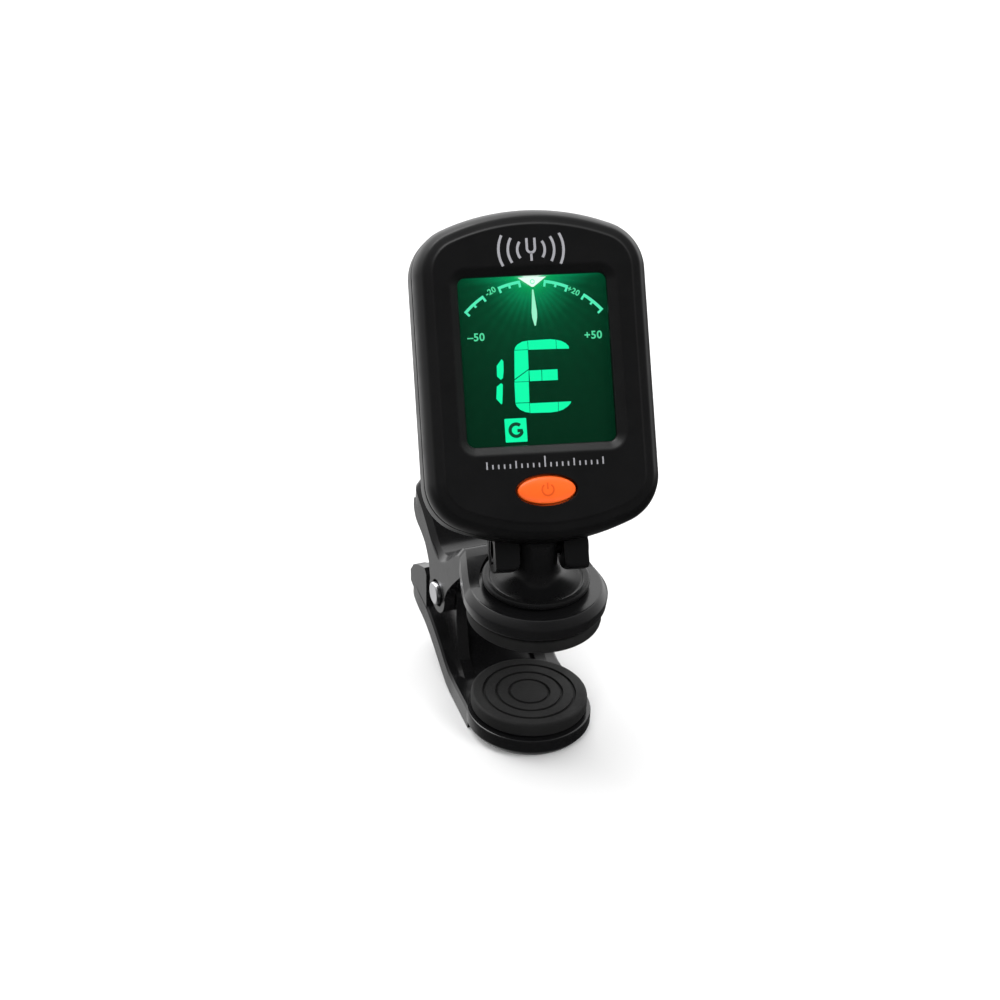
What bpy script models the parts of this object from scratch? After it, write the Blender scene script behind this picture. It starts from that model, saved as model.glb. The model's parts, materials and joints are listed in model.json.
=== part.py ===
"""Clip-on guitar tuner: a tilting, swivelling head on a spring clip.

Lengths below are in millimetres and angles in degrees; finish() scales each mesh to metres.

Frame: the origin is the centre of the upper pad's clamping face, +Z runs up the swivel axis and
+Y runs along the clip from the jaw to the finger levers.

Three empties carry the moving groups: swivel_axis (post), tilt_axis (head, a child of the swivel)
and jaw_axis (lower arm). The head is drawn upright in its own frame: the origin is on the tilt
axis, +X is along it, +Z is up the face, and depth d behind the face lies at y = FACE_Y + d.
"""

import math

import bmesh
import bpy
from mathutils import Vector

MM = 0.001
GAP = 0.3                     # air left between neighbouring pieces

# Pose at rest
SWIVEL_ANGLE = -12.3          # head's turn about the swivel axis
TILT_ANGLE = -38.3            # head's lean back from upright

# Head
HEAD_HALF_WIDTH = 16.1
HEAD_HALF_HEIGHT = 22.8
HEAD_CENTRE_Z = 23.0          # above the tilt axis
END_RADIUS = 31.4             # bow of the top and bottom edges
CORNER_RADIUS = 6.9
HEAD_DEPTH = 12.8
FACE_Y = -10.5                # face plane, in front of the tilt axis
WALL = 1.5
FRONT_DEPTH = 4.2             # depth of the parting line
WINDOW_X, WINDOW_Z = 10.3, 11.6
WINDOW_CENTRE_Z = 24.9
BUTTON_X, BUTTON_Z = 3.98, 1.86
BUTTON_CENTRE_Z = 7.0
BUTTON_TRAVEL = 0.5
BUTTON_FLANGE_X, BUTTON_FLANGE_Z = 4.9, 2.35
SCREW_X = 10.9
SCREW_Z = (6.1, 39.9)
BOARD_DEPTH = 6.0
BOARD_THICKNESS = 0.8

# Coin cell, its bay and the sliding cover
CELL_RADIUS, CELL_THICKNESS = 10.0, 3.2
CELL_CENTRE_Z = 31.4
CELL_DEPTH = 7.7
COVER_HALF_WIDTH = 10.6
COVER_BOTTOM_Z = 20.4
COVER_DEPTH = 11.2
REAR_FLOOR_DEPTH = 9.9

# Tilt joint
TILT_AXIS_Z = 11.45           # above the clamping face
EAR_RADIUS = 3.3              # round behind, nearly square in front
EAR_CORNER = 0.7
EAR_INNER, EAR_OUTER = 3.1, 6.5
NECK_RADIUS = 2.8

# Upper arm
DISC_RADIUS = 10.1
DISC_TOP_RADIUS = 9.25
DISC_TOP, DISC_SHOULDER, DISC_BOTTOM = 5.5, 4.3, 2.3
WELL_RADIUS = 7.85            # round recess that clears the turning dish
ARM_HALF_WIDTH = 8.2
CHEEK_INNER = 6.6
EDGE_CHAMFER_X, EDGE_CHAMFER_Z = 0.8, 1.1

# Jaw pivot, lower arm and pads
PIVOT_Y, PIVOT_Z = 15.8, -4.8
PIVOT_BOSS_RADIUS = 2.9
PIN_RADIUS = 1.2
PIN_HEAD_RADIUS, PIN_HEAD_SEAT, PIN_RECESS_RADIUS = 1.65, 0.7, 2.0
JAW_GAP = 13.0                # opening at rest
LOWER_DISC_RADIUS = 8.8
LOWER_CHEEK_OUTER, LOWER_CHEEK_INNER = 6.3, 4.7
UPPER_PAD_RADIUS, LOWER_PAD_RADIUS = 9.4, 8.2
PAD_THICKNESS = 2.0

# Torsion spring
WIRE_RADIUS = 0.42
COIL_RADIUS = 2.35
COIL_TURNS = 6
COIL_HALF_LENGTH = 3.3


# ---------------------------------------------------------------- scene and objects

def clear_scene():
    for thing in list(bpy.data.objects):
        bpy.data.objects.remove(thing, do_unlink=True)


def material(name, colour, roughness, metallic=0.0):
    """One Principled material, its colour given as linear red, green, blue."""
    mat = bpy.data.materials.new(name)
    mat.use_nodes = True
    shader = mat.node_tree.nodes["Principled BSDF"]
    shader.inputs["Base Color"].default_value = (*colour, 1.0)
    shader.inputs["Roughness"].default_value = roughness
    shader.inputs["Metallic"].default_value = metallic
    return mat


def empty(name, location, rotation_x=0.0, rotation_z=0.0, parent=None):
    axis = bpy.data.objects.new(name, None)
    bpy.context.collection.objects.link(axis)
    axis.empty_display_size = 5 * MM
    axis.location = [value * MM for value in location]
    axis.rotation_euler = (math.radians(rotation_x), 0.0, math.radians(rotation_z))
    axis.parent = parent
    return axis


def finish(name, bm, parent=None, look=None):
    """Turn a bmesh drawn in millimetres into a smooth-shaded object in metres."""
    bmesh.ops.recalc_face_normals(bm, faces=bm.faces)
    bmesh.ops.scale(bm, vec=(MM, MM, MM), verts=bm.verts)
    mesh = bpy.data.meshes.new(name)
    bm.to_mesh(mesh)
    bm.free()
    mesh.shade_smooth()
    mesh.set_sharp_from_angle(angle=math.radians(35))
    thing = bpy.data.objects.new(name, mesh)
    bpy.context.collection.objects.link(thing)
    thing.parent = parent
    if look is not None:
        mesh.materials.append(look)
    return thing


def combine(target, operation, bm):
    """Add a Boolean to target, whose other shape is a hidden object in the same parent frame."""
    tool = finish(f"{target.name}_{operation.lower()}_{len(target.modifiers)}", bm, target.parent)
    tool.hide_render = True
    tool.display_type = "WIRE"
    modifier = target.modifiers.new(tool.name, "BOOLEAN")
    modifier.operation = operation
    modifier.solver = "EXACT"
    modifier.object = tool


def add(target, bm):
    combine(target, "UNION", bm)


def cut(target, bm):
    combine(target, "DIFFERENCE", bm)


def keep_inside(target, bm):
    combine(target, "INTERSECT", bm)


# ---------------------------------------------------------------- shapes, in millimetres

def box(x, y, z):
    """A block given by its (low, high) pair along each axis."""
    bm = bmesh.new()
    bmesh.ops.create_cube(bm, size=1.0)
    for vert in bm.verts:
        vert.co = Vector([pair[0] if c < 0 else pair[1] for c, pair in zip(vert.co, (x, y, z))])
    return bm


def arc(centre, radius, start, end, segments):
    """Points along a circular arc, both ends included; angles in degrees."""
    points = []
    for step in range(segments + 1):
        angle = math.radians(start + (end - start) * step / segments)
        points.append((centre[0] + radius * math.cos(angle), centre[1] + radius * math.sin(angle)))
    return points


def loft(rings, closed_path=False):
    """A closed solid through rings of equally many 3-D points, capped at both ends."""
    bm = bmesh.new()
    loops = [[bm.verts.new(point) for point in ring] for ring in rings]
    pairs = list(zip(loops, loops[1:]))
    if closed_path:
        pairs.append((loops[-1], loops[0]))
    else:
        bm.faces.new(loops[0])
        bm.faces.new(loops[-1])
    for first, second in pairs:
        for i in range(len(first)):
            j = (i + 1) % len(first)
            bm.faces.new((first[i], first[j], second[j], second[i]))
    return bm


PLACE = {
    "X": lambda u, v, along: (along, u, v),
    "Y": lambda u, v, along: (u, along, v),
    "Z": lambda u, v, along: (u, v, along),
}


def prism(outline, axis, low, high):
    """Extrude a flat outline along an axis; the outline's pairs are the other two axes in order."""
    return loft([[PLACE[axis](u, v, along) for u, v in outline] for along in (low, high)])


def turned(profile, axis="Z", centre=(0.0, 0.0), segments=32, ring=False):
    """Turn (radius, along) points round an axis: a capped solid, or a ring if it closes on itself."""
    circles = []
    for radius, along in profile:
        circle = arc(centre, radius, 0, 360, segments)[:-1]
        circles.append([PLACE[axis](u, v, along) for u, v in circle])
    return loft(circles, closed_path=ring)


def tube(profile, axis="Z", centre=(0.0, 0.0), segments=32):
    return turned(profile, axis, centre, segments, ring=True)


def rod(radius, axis, low, high, centre=(0.0, 0.0), segments=20):
    return turned([(radius, low), (radius, high)], axis, centre, segments)


def oval(half_x, half_z, centre_z, segments=32):
    points = []
    for step in range(segments):
        angle = 2 * math.pi * step / segments
        points.append((half_x * math.cos(angle), centre_z + half_z * math.sin(angle)))
    return points


def rounded_rectangle(half_x, half_z, centre_z, radius, segments=4):
    points = []
    for sign_x, sign_z, start in ((1, 1, 0), (-1, 1, 90), (-1, -1, 180), (1, -1, 270)):
        corner = (sign_x * (half_x - radius), centre_z + sign_z * (half_z - radius))
        points += arc(corner, radius, start, start + 90, segments)
    return points


def swept_wire(points, radius, segments=8):
    """A round wire along a polyline, its rings kept from twisting by parallel transport."""
    path = [Vector(point) for point in points]
    tangents = []
    for i in range(len(path)):
        tangents.append((path[min(i + 1, len(path) - 1)] - path[max(i - 1, 0)]).normalized())
    normal = tangents[0].orthogonal().normalized()
    rings = []
    for i, centre in enumerate(path):
        if i:
            normal = tangents[i - 1].rotation_difference(tangents[i]) @ normal
        binormal = tangents[i].cross(normal).normalized()
        ring = []
        for step in range(segments):
            angle = 2 * math.pi * step / segments
            ring.append(centre + radius * (math.cos(angle) * normal + math.sin(angle) * binormal))
        rings.append(ring)
    return loft(rings)


# ---------------------------------------------------------------- the head's outline

def head_outline(side_inset, end_inset, corner):
    """The head's outline as (x, z): straight sides, bowed ends and round corners."""
    half_width = HEAD_HALF_WIDTH - side_inset
    half_height = HEAD_HALF_HEIGHT - end_inset
    end_radius = END_RADIUS - end_inset
    arc_centre = half_height - end_radius
    corner_x = half_width - corner
    corner_z = arc_centre + math.sqrt((end_radius - corner) ** 2 - corner_x ** 2)
    turn = math.degrees(math.atan2(corner_z - arc_centre, corner_x))
    quarter = arc((corner_x, corner_z), corner, 0, turn, 7)
    quarter += arc((0, arc_centre), end_radius, turn, 90, 5)[1:]
    right = quarter + [(-x, z) for x, z in reversed(quarter[:-1])]
    points = right + [(-x, -z) for x, z in right]
    return [(x, z + HEAD_CENTRE_Z) for x, z in points]


def head_ring(depth, side_inset, end_inset, corner=CORNER_RADIUS):
    return [(x, FACE_Y + depth, z) for x, z in head_outline(side_inset, end_inset, corner)]


def at_depth(low, high):
    """A span of depths as a span of y."""
    return FACE_Y + low, FACE_Y + high


def screw_places():
    return [(x, z) for z in SCREW_Z for x in (-SCREW_X, SCREW_X)]


# ---------------------------------------------------------------- head: shells

def make_front_shell(head, look):
    shell = finish("front_shell", loft([
        head_ring(0.0, 2.35, 2.35, 5.2),
        head_ring(0.12, 2.15, 2.15, 5.3),
        head_ring(0.50, 1.30, 1.30, 5.9),
        head_ring(0.72, 1.05, 1.05, 6.1),
        head_ring(1.30, 0.55, 0.55, 6.5),
        head_ring(2.20, 0.15, 0.15, 6.8),
        head_ring(3.20, 0.0, 0.0),
        head_ring(FRONT_DEPTH, 0.0, 0.0),
        head_ring(FRONT_DEPTH, WALL, WALL, 5.4),
        head_ring(3.0, 1.6, 1.6, 5.3),
        head_ring(WALL, 3.7, 3.2, 4.2),
    ]), head, look)
    for x, z in screw_places():
        add(shell, rod(1.7, "Y", *at_depth(1.2, BOARD_DEPTH - GAP), (x, z)))
    window_centre = WINDOW_CENTRE_Z
    bevel = 1.15
    cut(shell, loft([
        [(x, FACE_Y + depth, z) for x, z in
         rounded_rectangle(WINDOW_X + grow, WINDOW_Z + grow, window_centre, 1.3 + grow)]
        for depth, grow in ((-1.0, bevel * 2.2), (0.0, bevel), (0.85, 0.0), (2.0, 0.0))
    ]))
    cut(shell, prism(oval(BUTTON_X + GAP, BUTTON_Z + GAP, BUTTON_CENTRE_Z), "Y", *at_depth(-1, 3)))
    for x, z in screw_places():
        cut(shell, rod(1.1, "Y", *at_depth(2.2, 8.0), (x, z)))
    return shell


def rear_form():
    """The rear shell's outer form as a plain solid, its open side at the parting line."""
    return [
        head_ring(HEAD_DEPTH, 3.8, 3.8, 4.0),
        head_ring(12.5, 2.6, 2.6, 4.8),
        head_ring(11.8, 1.5, 1.5, 5.7),
        head_ring(10.6, 0.7, 0.7, 6.3),
        head_ring(9.0, 0.2, 0.2, 6.7),
        head_ring(7.2, 0.0, 0.0),
        head_ring(FRONT_DEPTH + GAP, 0.0, 0.0),
    ]


def make_rear_shell(head, look):
    shell = finish("rear_shell", loft(rear_form() + [
        head_ring(FRONT_DEPTH + GAP, WALL, WALL, 5.4),
        head_ring(9.0, 1.9, 1.9, 5.1),
        head_ring(REAR_FLOOR_DEPTH, 2.8, 2.8, 4.3),
    ]), head, look)
    add(shell, rod(11.5, "Y", *at_depth(7.2, 10.4), (0.0, CELL_CENTRE_Z), 36))
    for x, z in screw_places():
        add(shell, rod(2.2, "Y", *at_depth(BOARD_DEPTH + BOARD_THICKNESS + GAP, 10.4), (x, z)))
    add(shell, box((-4.7, 4.7), (-4.4, 2.0), (0.6, 4.75)))
    for side in (-1, 1):
        span = sorted((side * (EAR_INNER - 0.5), side * EAR_OUTER))
        outline = [(EAR_RADIUS, 4.6), (-EAR_RADIUS, 4.6)]
        outline += arc((EAR_CORNER - EAR_RADIUS, EAR_CORNER - EAR_RADIUS), EAR_CORNER, 180, 270, 4)
        outline += arc((0, 0), EAR_RADIUS, 270, 360, 8)
        add(shell, prism(outline, "X", *span))
    # Slot that lets the neck swing, with a round seat for its end
    seat = NECK_RADIUS + GAP
    slot = arc((0, 0), seat, 180, 90, 10) + [(6.0, seat), (6.0, -6.0), (-6.0, -6.0), (-6.0, 0.0)]
    cut(shell, prism(slot, "X", -EAR_INNER, EAR_INNER))
    cut(shell, rod(1.3, "X", -9.0, 9.0))
    cut(shell, rod(2.2, "X", EAR_OUTER - 1.3, 9.0))
    cut(shell, prism(arc((0, 0), 2.35, 0, 360, 6)[:-1], "X", -9.0, -EAR_OUTER + 1.5))
    # Cell bay, cover channel, recess for the piezo and wells for the screws
    cut(shell, rod(CELL_RADIUS + GAP, "Y", *at_depth(6.0, 14.0), (0.0, CELL_CENTRE_Z), 36))
    channel = COVER_HALF_WIDTH + GAP
    cut(shell, box((-channel, channel), at_depth(COVER_DEPTH - GAP, 14.0),
                   (COVER_BOTTOM_Z - GAP, 50.0)))
    cut(shell, box((-2.8, 2.8), at_depth(6.5, REAR_FLOOR_DEPTH + 1.0), (40.4, 43.3)))
    cut(shell, rod(6.8, "Y", *at_depth(8.0, 11.3), (0.0, 13.2), 28))
    for x, z in screw_places():
        cut(shell, rod(1.1, "Y", *at_depth(6.0, 14.0), (x, z)))
        cut(shell, rod(1.65, "Y", *at_depth(REAR_FLOOR_DEPTH - 0.2, 14.0), (x, z)))
    return shell


def make_battery_cover(head, look):
    cover = finish("battery_cover", box((-COVER_HALF_WIDTH, COVER_HALF_WIDTH),
                                        at_depth(COVER_DEPTH, 14.0), (COVER_BOTTOM_Z, 50.0)),
                   head, look)
    keep_inside(cover, loft(rear_form()))
    for row in range(4):
        z = COVER_BOTTOM_Z + 3.0 + 1.6 * row
        cut(cover, box((-4.5, 4.5), at_depth(12.35, 14.0), (z, z + 0.7)))
    return cover


# ---------------------------------------------------------------- head: display and button

def make_display(head, looks):
    finish("display_lens", prism(rounded_rectangle(11.7, 12.8, WINDOW_CENTRE_Z, 1.5),
                                 "Y", *at_depth(1.8, 2.5)), head, looks["clear"])
    finish("lcd_glass", box((-12.0, 12.0), at_depth(2.8, 4.4), (10.3, 37.2)), head, looks["lcd"])
    holder = finish("lcd_holder", box((-13.2, 13.2), at_depth(2.8, 5.7), (9.0, 37.9)), head,
                    looks["white"])
    cut(holder, box((-12.3, 12.3), at_depth(1.0, 8.0), (10.0, 37.5)))
    # Relief in the lower rail, so the pressed button's flange stays clear of it
    flange_top = BUTTON_CENTRE_Z + BUTTON_FLANGE_Z
    cut(holder, box((-BUTTON_FLANGE_X - GAP, BUTTON_FLANGE_X + GAP), at_depth(1.0, 3.3),
                    (8.0, flange_top + GAP)))
    finish("light_guide", box((-11.8, 11.8), at_depth(4.7, 5.7), (14.0, 37.2)), head,
           looks["guide"])
    for side, name in ((-1, "backlight_led_left"), (1, "backlight_led_right")):
        span = sorted((side * 4.0, side * 7.0))
        finish(name, box(span, at_depth(4.7, 5.7), (12.4, 13.7)), head, looks["led"])
    finish("zebra_connector", box((-10.5, 10.5), at_depth(4.7, 5.7), (10.5, 12.1)), head,
           looks["zebra"])


def make_button(head, looks):
    def ring(depth, scale_x, scale_z):
        outline = oval(BUTTON_X * scale_x, BUTTON_Z * scale_z, BUTTON_CENTRE_Z)
        return [(x, FACE_Y + depth, z) for x, z in outline]

    flange_x, flange_z = BUTTON_FLANGE_X / BUTTON_X, BUTTON_FLANGE_Z / BUTTON_Z
    stem = 1.2
    finish("power_button", loft([
        ring(-0.62, 0.25, 0.25),
        ring(-0.56, 0.55, 0.55),
        ring(-0.38, 0.82, 0.80),
        ring(-0.12, 0.96, 0.94),
        ring(0.15, 1.0, 1.0),
        ring(1.8, 1.0, 1.0),
        ring(1.8, flange_x, flange_z),
        ring(2.4, flange_x, flange_z),
        ring(2.4, stem / BUTTON_X, stem / BUTTON_Z),
        ring(3.4, stem / BUTTON_X, stem / BUTTON_Z),
    ]), head, looks["orange"])
    finish("switch_plunger", rod(0.9, "Y", *at_depth(3.7, 4.15), (0.0, BUTTON_CENTRE_Z), 16),
           head, looks["black"])
    body = finish("switch_body", box((-2.3, 2.3), at_depth(4.0, 5.7),
                                     (BUTTON_CENTRE_Z - 1.6, BUTTON_CENTRE_Z + 1.6)),
                  head, looks["steel"])
    cut(body, rod(1.2, "Y", *at_depth(3.0, 4.15 + BUTTON_TRAVEL + GAP),
                  (0.0, BUTTON_CENTRE_Z), 16))


# ---------------------------------------------------------------- head: electronics and cell

def make_circuit_board(head, look):
    back = BOARD_DEPTH + BOARD_THICKNESS
    board = finish("circuit_board", loft([head_ring(BOARD_DEPTH, 2.6, 2.8, 4.5),
                                          head_ring(back, 2.6, 2.8, 4.5)]), head, look)
    for x, z in screw_places():
        cut(board, rod(1.2, "Y", *at_depth(5.0, 8.0), (x, z)))
    cut(board, box((-7.5, 7.5), at_depth(5.0, 8.0), (0.0, 5.1)))
    return board


def make_electronics(head, looks):
    back = BOARD_DEPTH + BOARD_THICKNESS + GAP
    finish("tuner_chip", box((-8.5, -1.5), at_depth(back, back + 0.9), (12.5, 19.5)), head,
           looks["black"])
    can = rounded_rectangle(3.3, 1.2, 9.5, 1.1)
    finish("crystal_can", prism([(x + 6.0, z) for x, z in can], "Y", *at_depth(back, back + 1.2)),
           head, looks["steel"])
    brass_depth = 10.75
    finish("piezo_disc", rod(6.3, "Y", *at_depth(brass_depth, brass_depth + 0.25),
                             (0.0, 13.2), 28), head, looks["brass"])
    finish("piezo_ceramic", rod(4.6, "Y", *at_depth(brass_depth - GAP - 0.25, brass_depth - GAP),
                                (0.0, 13.2), 24), head, looks["ceramic"])
    for x, name, look in ((1.2, "piezo_wire_red", "red"), (3.4, "piezo_wire_black", "black")):
        start, end = FACE_Y + 9.8, FACE_Y + back + 0.45
        middle = (start + end) / 2
        route = [(x, start, 12.0), (x + 0.3, start - 0.3, 14.0), (x + 0.9, middle + 0.4, 16.5),
                 (x + 1.4, middle - 0.4, 18.2), (x + 1.6, end, 19.6)]
        finish(name, swept_wire(route, 0.35), head, looks[look])


def make_cell(head, looks):
    front, rear = CELL_DEPTH, CELL_DEPTH + CELL_THICKNESS
    finish("coin_cell", turned([(8.6, FACE_Y + front), (8.9, FACE_Y + front + 0.35),
                                (9.7, FACE_Y + front + 0.35), (CELL_RADIUS, FACE_Y + front + 0.65),
                                (CELL_RADIUS, FACE_Y + rear - 0.25), (9.7, FACE_Y + rear)],
                               "Y", (0.0, CELL_CENTRE_Z), 36), head, looks["steel"])
    finish("cell_contact_minus", box((-3.5, 3.5), at_depth(7.1, 7.4),
                                     (CELL_CENTRE_Z - 2.0, CELL_CENTRE_Z + 2.0)),
           head, looks["steel"])
    finish("cell_contact_plus", box((-2.3, 2.3), at_depth(7.1, 10.5), (42.0, 42.4)), head,
           looks["steel"])


def make_case_screws(head, look):
    low, top = 2.6, REAR_FLOOR_DEPTH + GAP - 0.2
    for number, (x, z) in enumerate(screw_places(), start=1):
        screw = finish(f"case_screw_{number}", turned([
            (0.45, FACE_Y + low), (0.8, FACE_Y + low + 0.7), (0.8, FACE_Y + top),
            (1.35, FACE_Y + top), (1.35, FACE_Y + top + 0.55), (0.9, FACE_Y + top + 0.85)],
            "Y", (x, z), 16), head, look)
        for half_x, half_z in ((0.75, 0.13), (0.13, 0.75)):
            cut(screw, box((x - half_x, x + half_x), at_depth(top + 0.35, top + 2),
                           (z - half_z, z + half_z)))


def make_tilt_fasteners(head, look):
    seat = EAR_OUTER - 1.3
    screw = finish("tilt_screw", turned([
        (1.0, -EAR_OUTER + 0.4), (1.0, seat + 0.65), (1.8, seat + 0.65), (1.8, seat + 1.45),
        (1.2, seat + 1.75)], "X", (0.0, 0.0), 20), head, look)
    for half_y, half_z in ((1.0, 0.18), (0.18, 1.0)):
        cut(screw, box((seat + 1.1, seat + 3), (-half_y, half_y), (-half_z, half_z)))
    finish("tilt_washer", tube([(1.3, seat + 0.3 - 0.15), (1.9, seat + 0.15),
                                (1.9, seat + 0.4), (1.3, seat + 0.4)], "X"), head, look)
    outline = arc((0, 0), 2.0, 0, 360, 6)[:-1]
    nut = finish("tilt_nut", prism(outline, "X", -EAR_OUTER + 0.1, -EAR_OUTER + 1.2), head, look)
    cut(nut, rod(1.3, "X", -9.0, 0.0))


# ---------------------------------------------------------------- swivel post

def make_post(swivel, looks):
    top = TILT_AXIS_Z + NECK_RADIUS
    post = finish("swivel_post", turned([
        (2.9, 4.0), (2.9, DISC_TOP + GAP), (7.0, DISC_TOP + GAP), (7.45, 6.15), (7.5, 6.6),
        (7.2, 6.9), (6.75, 6.9), (6.4, 6.5), (5.6, 6.45), (4.6, 6.65), (3.8, 7.0), (3.25, 7.5),
        (2.95, 8.2), (NECK_RADIUS, 9.0), (NECK_RADIUS, top)], "Z", (0.0, 0.0), 40), swivel, looks["black"])
    wide, collar = 9.0, TILT_AXIS_Z - 2.0
    keep_inside(post, prism([(-wide, 0.0), (wide, 0.0), (wide, collar), (NECK_RADIUS, collar)]
                            + arc((0.0, TILT_AXIS_Z), NECK_RADIUS, 0, 180, 12)
                            + [(-NECK_RADIUS, collar), (-wide, collar)], "X", -wide, wide))
    cut(post, rod(1.3, "X", -6.0, 6.0, (0.0, TILT_AXIS_Z)))
    cut(post, rod(1.5, "Z", 0.0, 8.6))
    head_low, head_top = 1.45, 2.8
    screw = finish("swivel_screw", turned([
        (2.1, head_low), (2.5, head_low + 0.3), (2.5, head_top), (1.2, head_top),
        (1.2, 7.6), (0.7, 8.2)], "Z", (0.0, 0.0), 20), swivel, looks["steel"])
    for half_x, half_y in ((1.3, 0.2), (0.2, 1.3)):
        cut(screw, box((-half_x, half_x), (-half_y, half_y), (0.0, head_low + 0.5)))
    finish("swivel_washer", tube([(1.5, 3.1), (4.8, 3.1), (4.8, 3.7), (1.5, 3.7)], "Z"), swivel,
           looks["steel"])


# ---------------------------------------------------------------- clip arms and pads

def plate_sections(stations, side_chamfer=True):
    """Sections across the clip from (y, half_width, bottom, top) stations, top edges chamfered."""
    sections = []
    for y, half, bottom, top in stations:
        shoulder = top - EDGE_CHAMFER_Z
        inner = half - EDGE_CHAMFER_X
        if not side_chamfer:
            shoulder, inner = top - 0.3, half - 0.3
        right = [(half, bottom), (half, shoulder), (inner, top)]
        left = [(-x, z) for x, z in reversed(right)]
        sections.append([(x, y, z) for x, z in right + left])
    return sections


def make_upper_arm(look):
    arm = finish("upper_arm", turned([
        (9.5, DISC_BOTTOM), (9.95, DISC_BOTTOM + 0.5), (DISC_RADIUS, DISC_SHOULDER),
        (DISC_TOP_RADIUS, DISC_TOP)], "Z", (0.0, 0.0), 48), None, look)
    add(arm, loft(plate_sections([
        (1.2, 9.98, 2.35, 5.85), (4.7, 9.1, 3.1, 6.65), (8.0, ARM_HALF_WIDTH, 3.9, 7.3),
        (8.8, ARM_HALF_WIDTH, 4.0, 7.15), (11.0, ARM_HALF_WIDTH, 2.6, 5.3),
        (13.2, ARM_HALF_WIDTH, 0.7, 3.1), (15.3, ARM_HALF_WIDTH, -0.5, 2.0),
        (17.5, ARM_HALF_WIDTH, -0.2, 2.4), (20.0, ARM_HALF_WIDTH, 1.6, 4.2),
        (22.6, ARM_HALF_WIDTH, 3.5, 6.1), (25.0, ARM_HALF_WIDTH, 4.6, 7.5),
        (26.2, 7.8, 4.5, 8.1), (27.0, 6.6, 4.2, 8.25)])))
    outline = [(7.0, 5.6), (7.2, 3.6), (10.0, 0.5), (12.1, -2.1)]
    outline += arc((PIVOT_Y, PIVOT_Z), PIVOT_BOSS_RADIUS, 165, 375, 12)
    outline += [(19.5, -1.6), (21.0, 0.2), (23.0, 1.3), (24.8, 2.0), (25.9, 3.4), (26.0, 5.0),
                (22.6, 4.6), (20.0, 2.8), (15.3, 0.7), (11.0, 3.9)]
    for side in (-1, 1):
        span = sorted((side * CHEEK_INNER, side * (ARM_HALF_WIDTH - 0.02)))
        add(arm, prism(outline, "X", *span))
    # Well for the dish, swivel bore and the washer's recess below
    cut(arm, rod(WELL_RADIUS, "Z", DISC_TOP, 12.0, (0.0, 0.0), 48))
    cut(arm, rod(2.9 + GAP, "Z", 0.0, 8.0, (0.0, 0.0), 28))
    cut(arm, rod(5.2, "Z", 0.0, 4.0, (0.0, 0.0), 28))
    cut(arm, rod(PIN_RADIUS + GAP, "X", -10.0, 10.0, (PIVOT_Y, PIVOT_Z)))
    cut(arm, rod(PIN_RECESS_RADIUS, "X", -10.0, PIN_HEAD_SEAT - ARM_HALF_WIDTH,
                 (PIVOT_Y, PIVOT_Z)))
    return arm


def make_pads(jaw, look):
    pad = finish("upper_pad", turned([
        (UPPER_PAD_RADIUS - 0.4, 0.0), (UPPER_PAD_RADIUS, 0.4), (UPPER_PAD_RADIUS, 1.7),
        (UPPER_PAD_RADIUS - 0.3, PAD_THICKNESS)], "Z", (0.0, 0.0), 40), None, look)
    cut(pad, rod(3.3, "Z", 1.1, 3.0, (0.0, 0.0), 24))
    face = -JAW_GAP - PIVOT_Z
    finish("lower_pad", turned([
        (LOWER_PAD_RADIUS - 0.3, face - PAD_THICKNESS), (LOWER_PAD_RADIUS, face - 1.7),
        (LOWER_PAD_RADIUS, face - 0.4), (LOWER_PAD_RADIUS - 0.4, face)],
        "Z", (0.0, -PIVOT_Y), 36), jaw, look)


def make_lower_arm(jaw, look):
    """Drawn in the jaw frame, whose origin is on the pivot pin."""
    def place(y, z):
        return y - PIVOT_Y, z - PIVOT_Z

    top = place(0, -JAW_GAP - PAD_THICKNESS - GAP)[1]
    arm = finish("lower_arm", turned([
        (LOWER_DISC_RADIUS - 0.9, top - 3.0), (LOWER_DISC_RADIUS, top - 1.9),
        (LOWER_DISC_RADIUS, top - 0.3), (LOWER_DISC_RADIUS - 0.2, top)],
        "Z", (0.0, -PIVOT_Y), 44), jaw, look)
    stations = [(1.2, 8.65, -18.25, -15.32), (8.0, 8.2, -18.1, -15.3), (11.0, 8.2, -17.3, -14.5),
                (14.0, 8.2, -15.6, -12.6), (17.0, 8.2, -13.8, -10.9), (20.0, 8.2, -12.4, -9.6),
                (23.0, 8.2, -11.6, -8.9), (25.2, 8.0, -10.9, -8.3), (26.4, 7.2, -10.2, -8.0),
                (26.9, 6.2, -9.6, -8.0)]
    stations = [(*place(y, 0)[:1], half, place(0, low)[1], place(0, high)[1])
                for y, half, low, high in stations]
    add(arm, loft(plate_sections(stations, side_chamfer=False)))
    cheek = [place(*point) for point in ((7.0, -16.5), (11.0, -13.2), (12.7, -8.0))]
    cheek += arc((0.0, 0.0), PIVOT_BOSS_RADIUS, 190, 10, 12)
    cheek += [place(*point) for point in ((19.2, -6.5), (20.5, -9.0), (19.0, -11.5), (12.0, -16.0))]
    flange = [place(*point) for point in ((19.6, -10.5), (20.2, -4.6), (21.0, -3.9), (23.4, -4.9),
                                          (25.2, -6.0), (26.2, -7.5), (26.0, -9.2), (23.0, -10.4))]
    for side in (-1, 1):
        add(arm, prism(cheek, "X", *sorted((side * LOWER_CHEEK_INNER, side * LOWER_CHEEK_OUTER))))
        add(arm, prism(flange, "X", *sorted((side * 6.5, side * 8.15))))
    cut(arm, rod(PIN_RADIUS + GAP, "X", -10.0, 10.0))
    return arm


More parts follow.
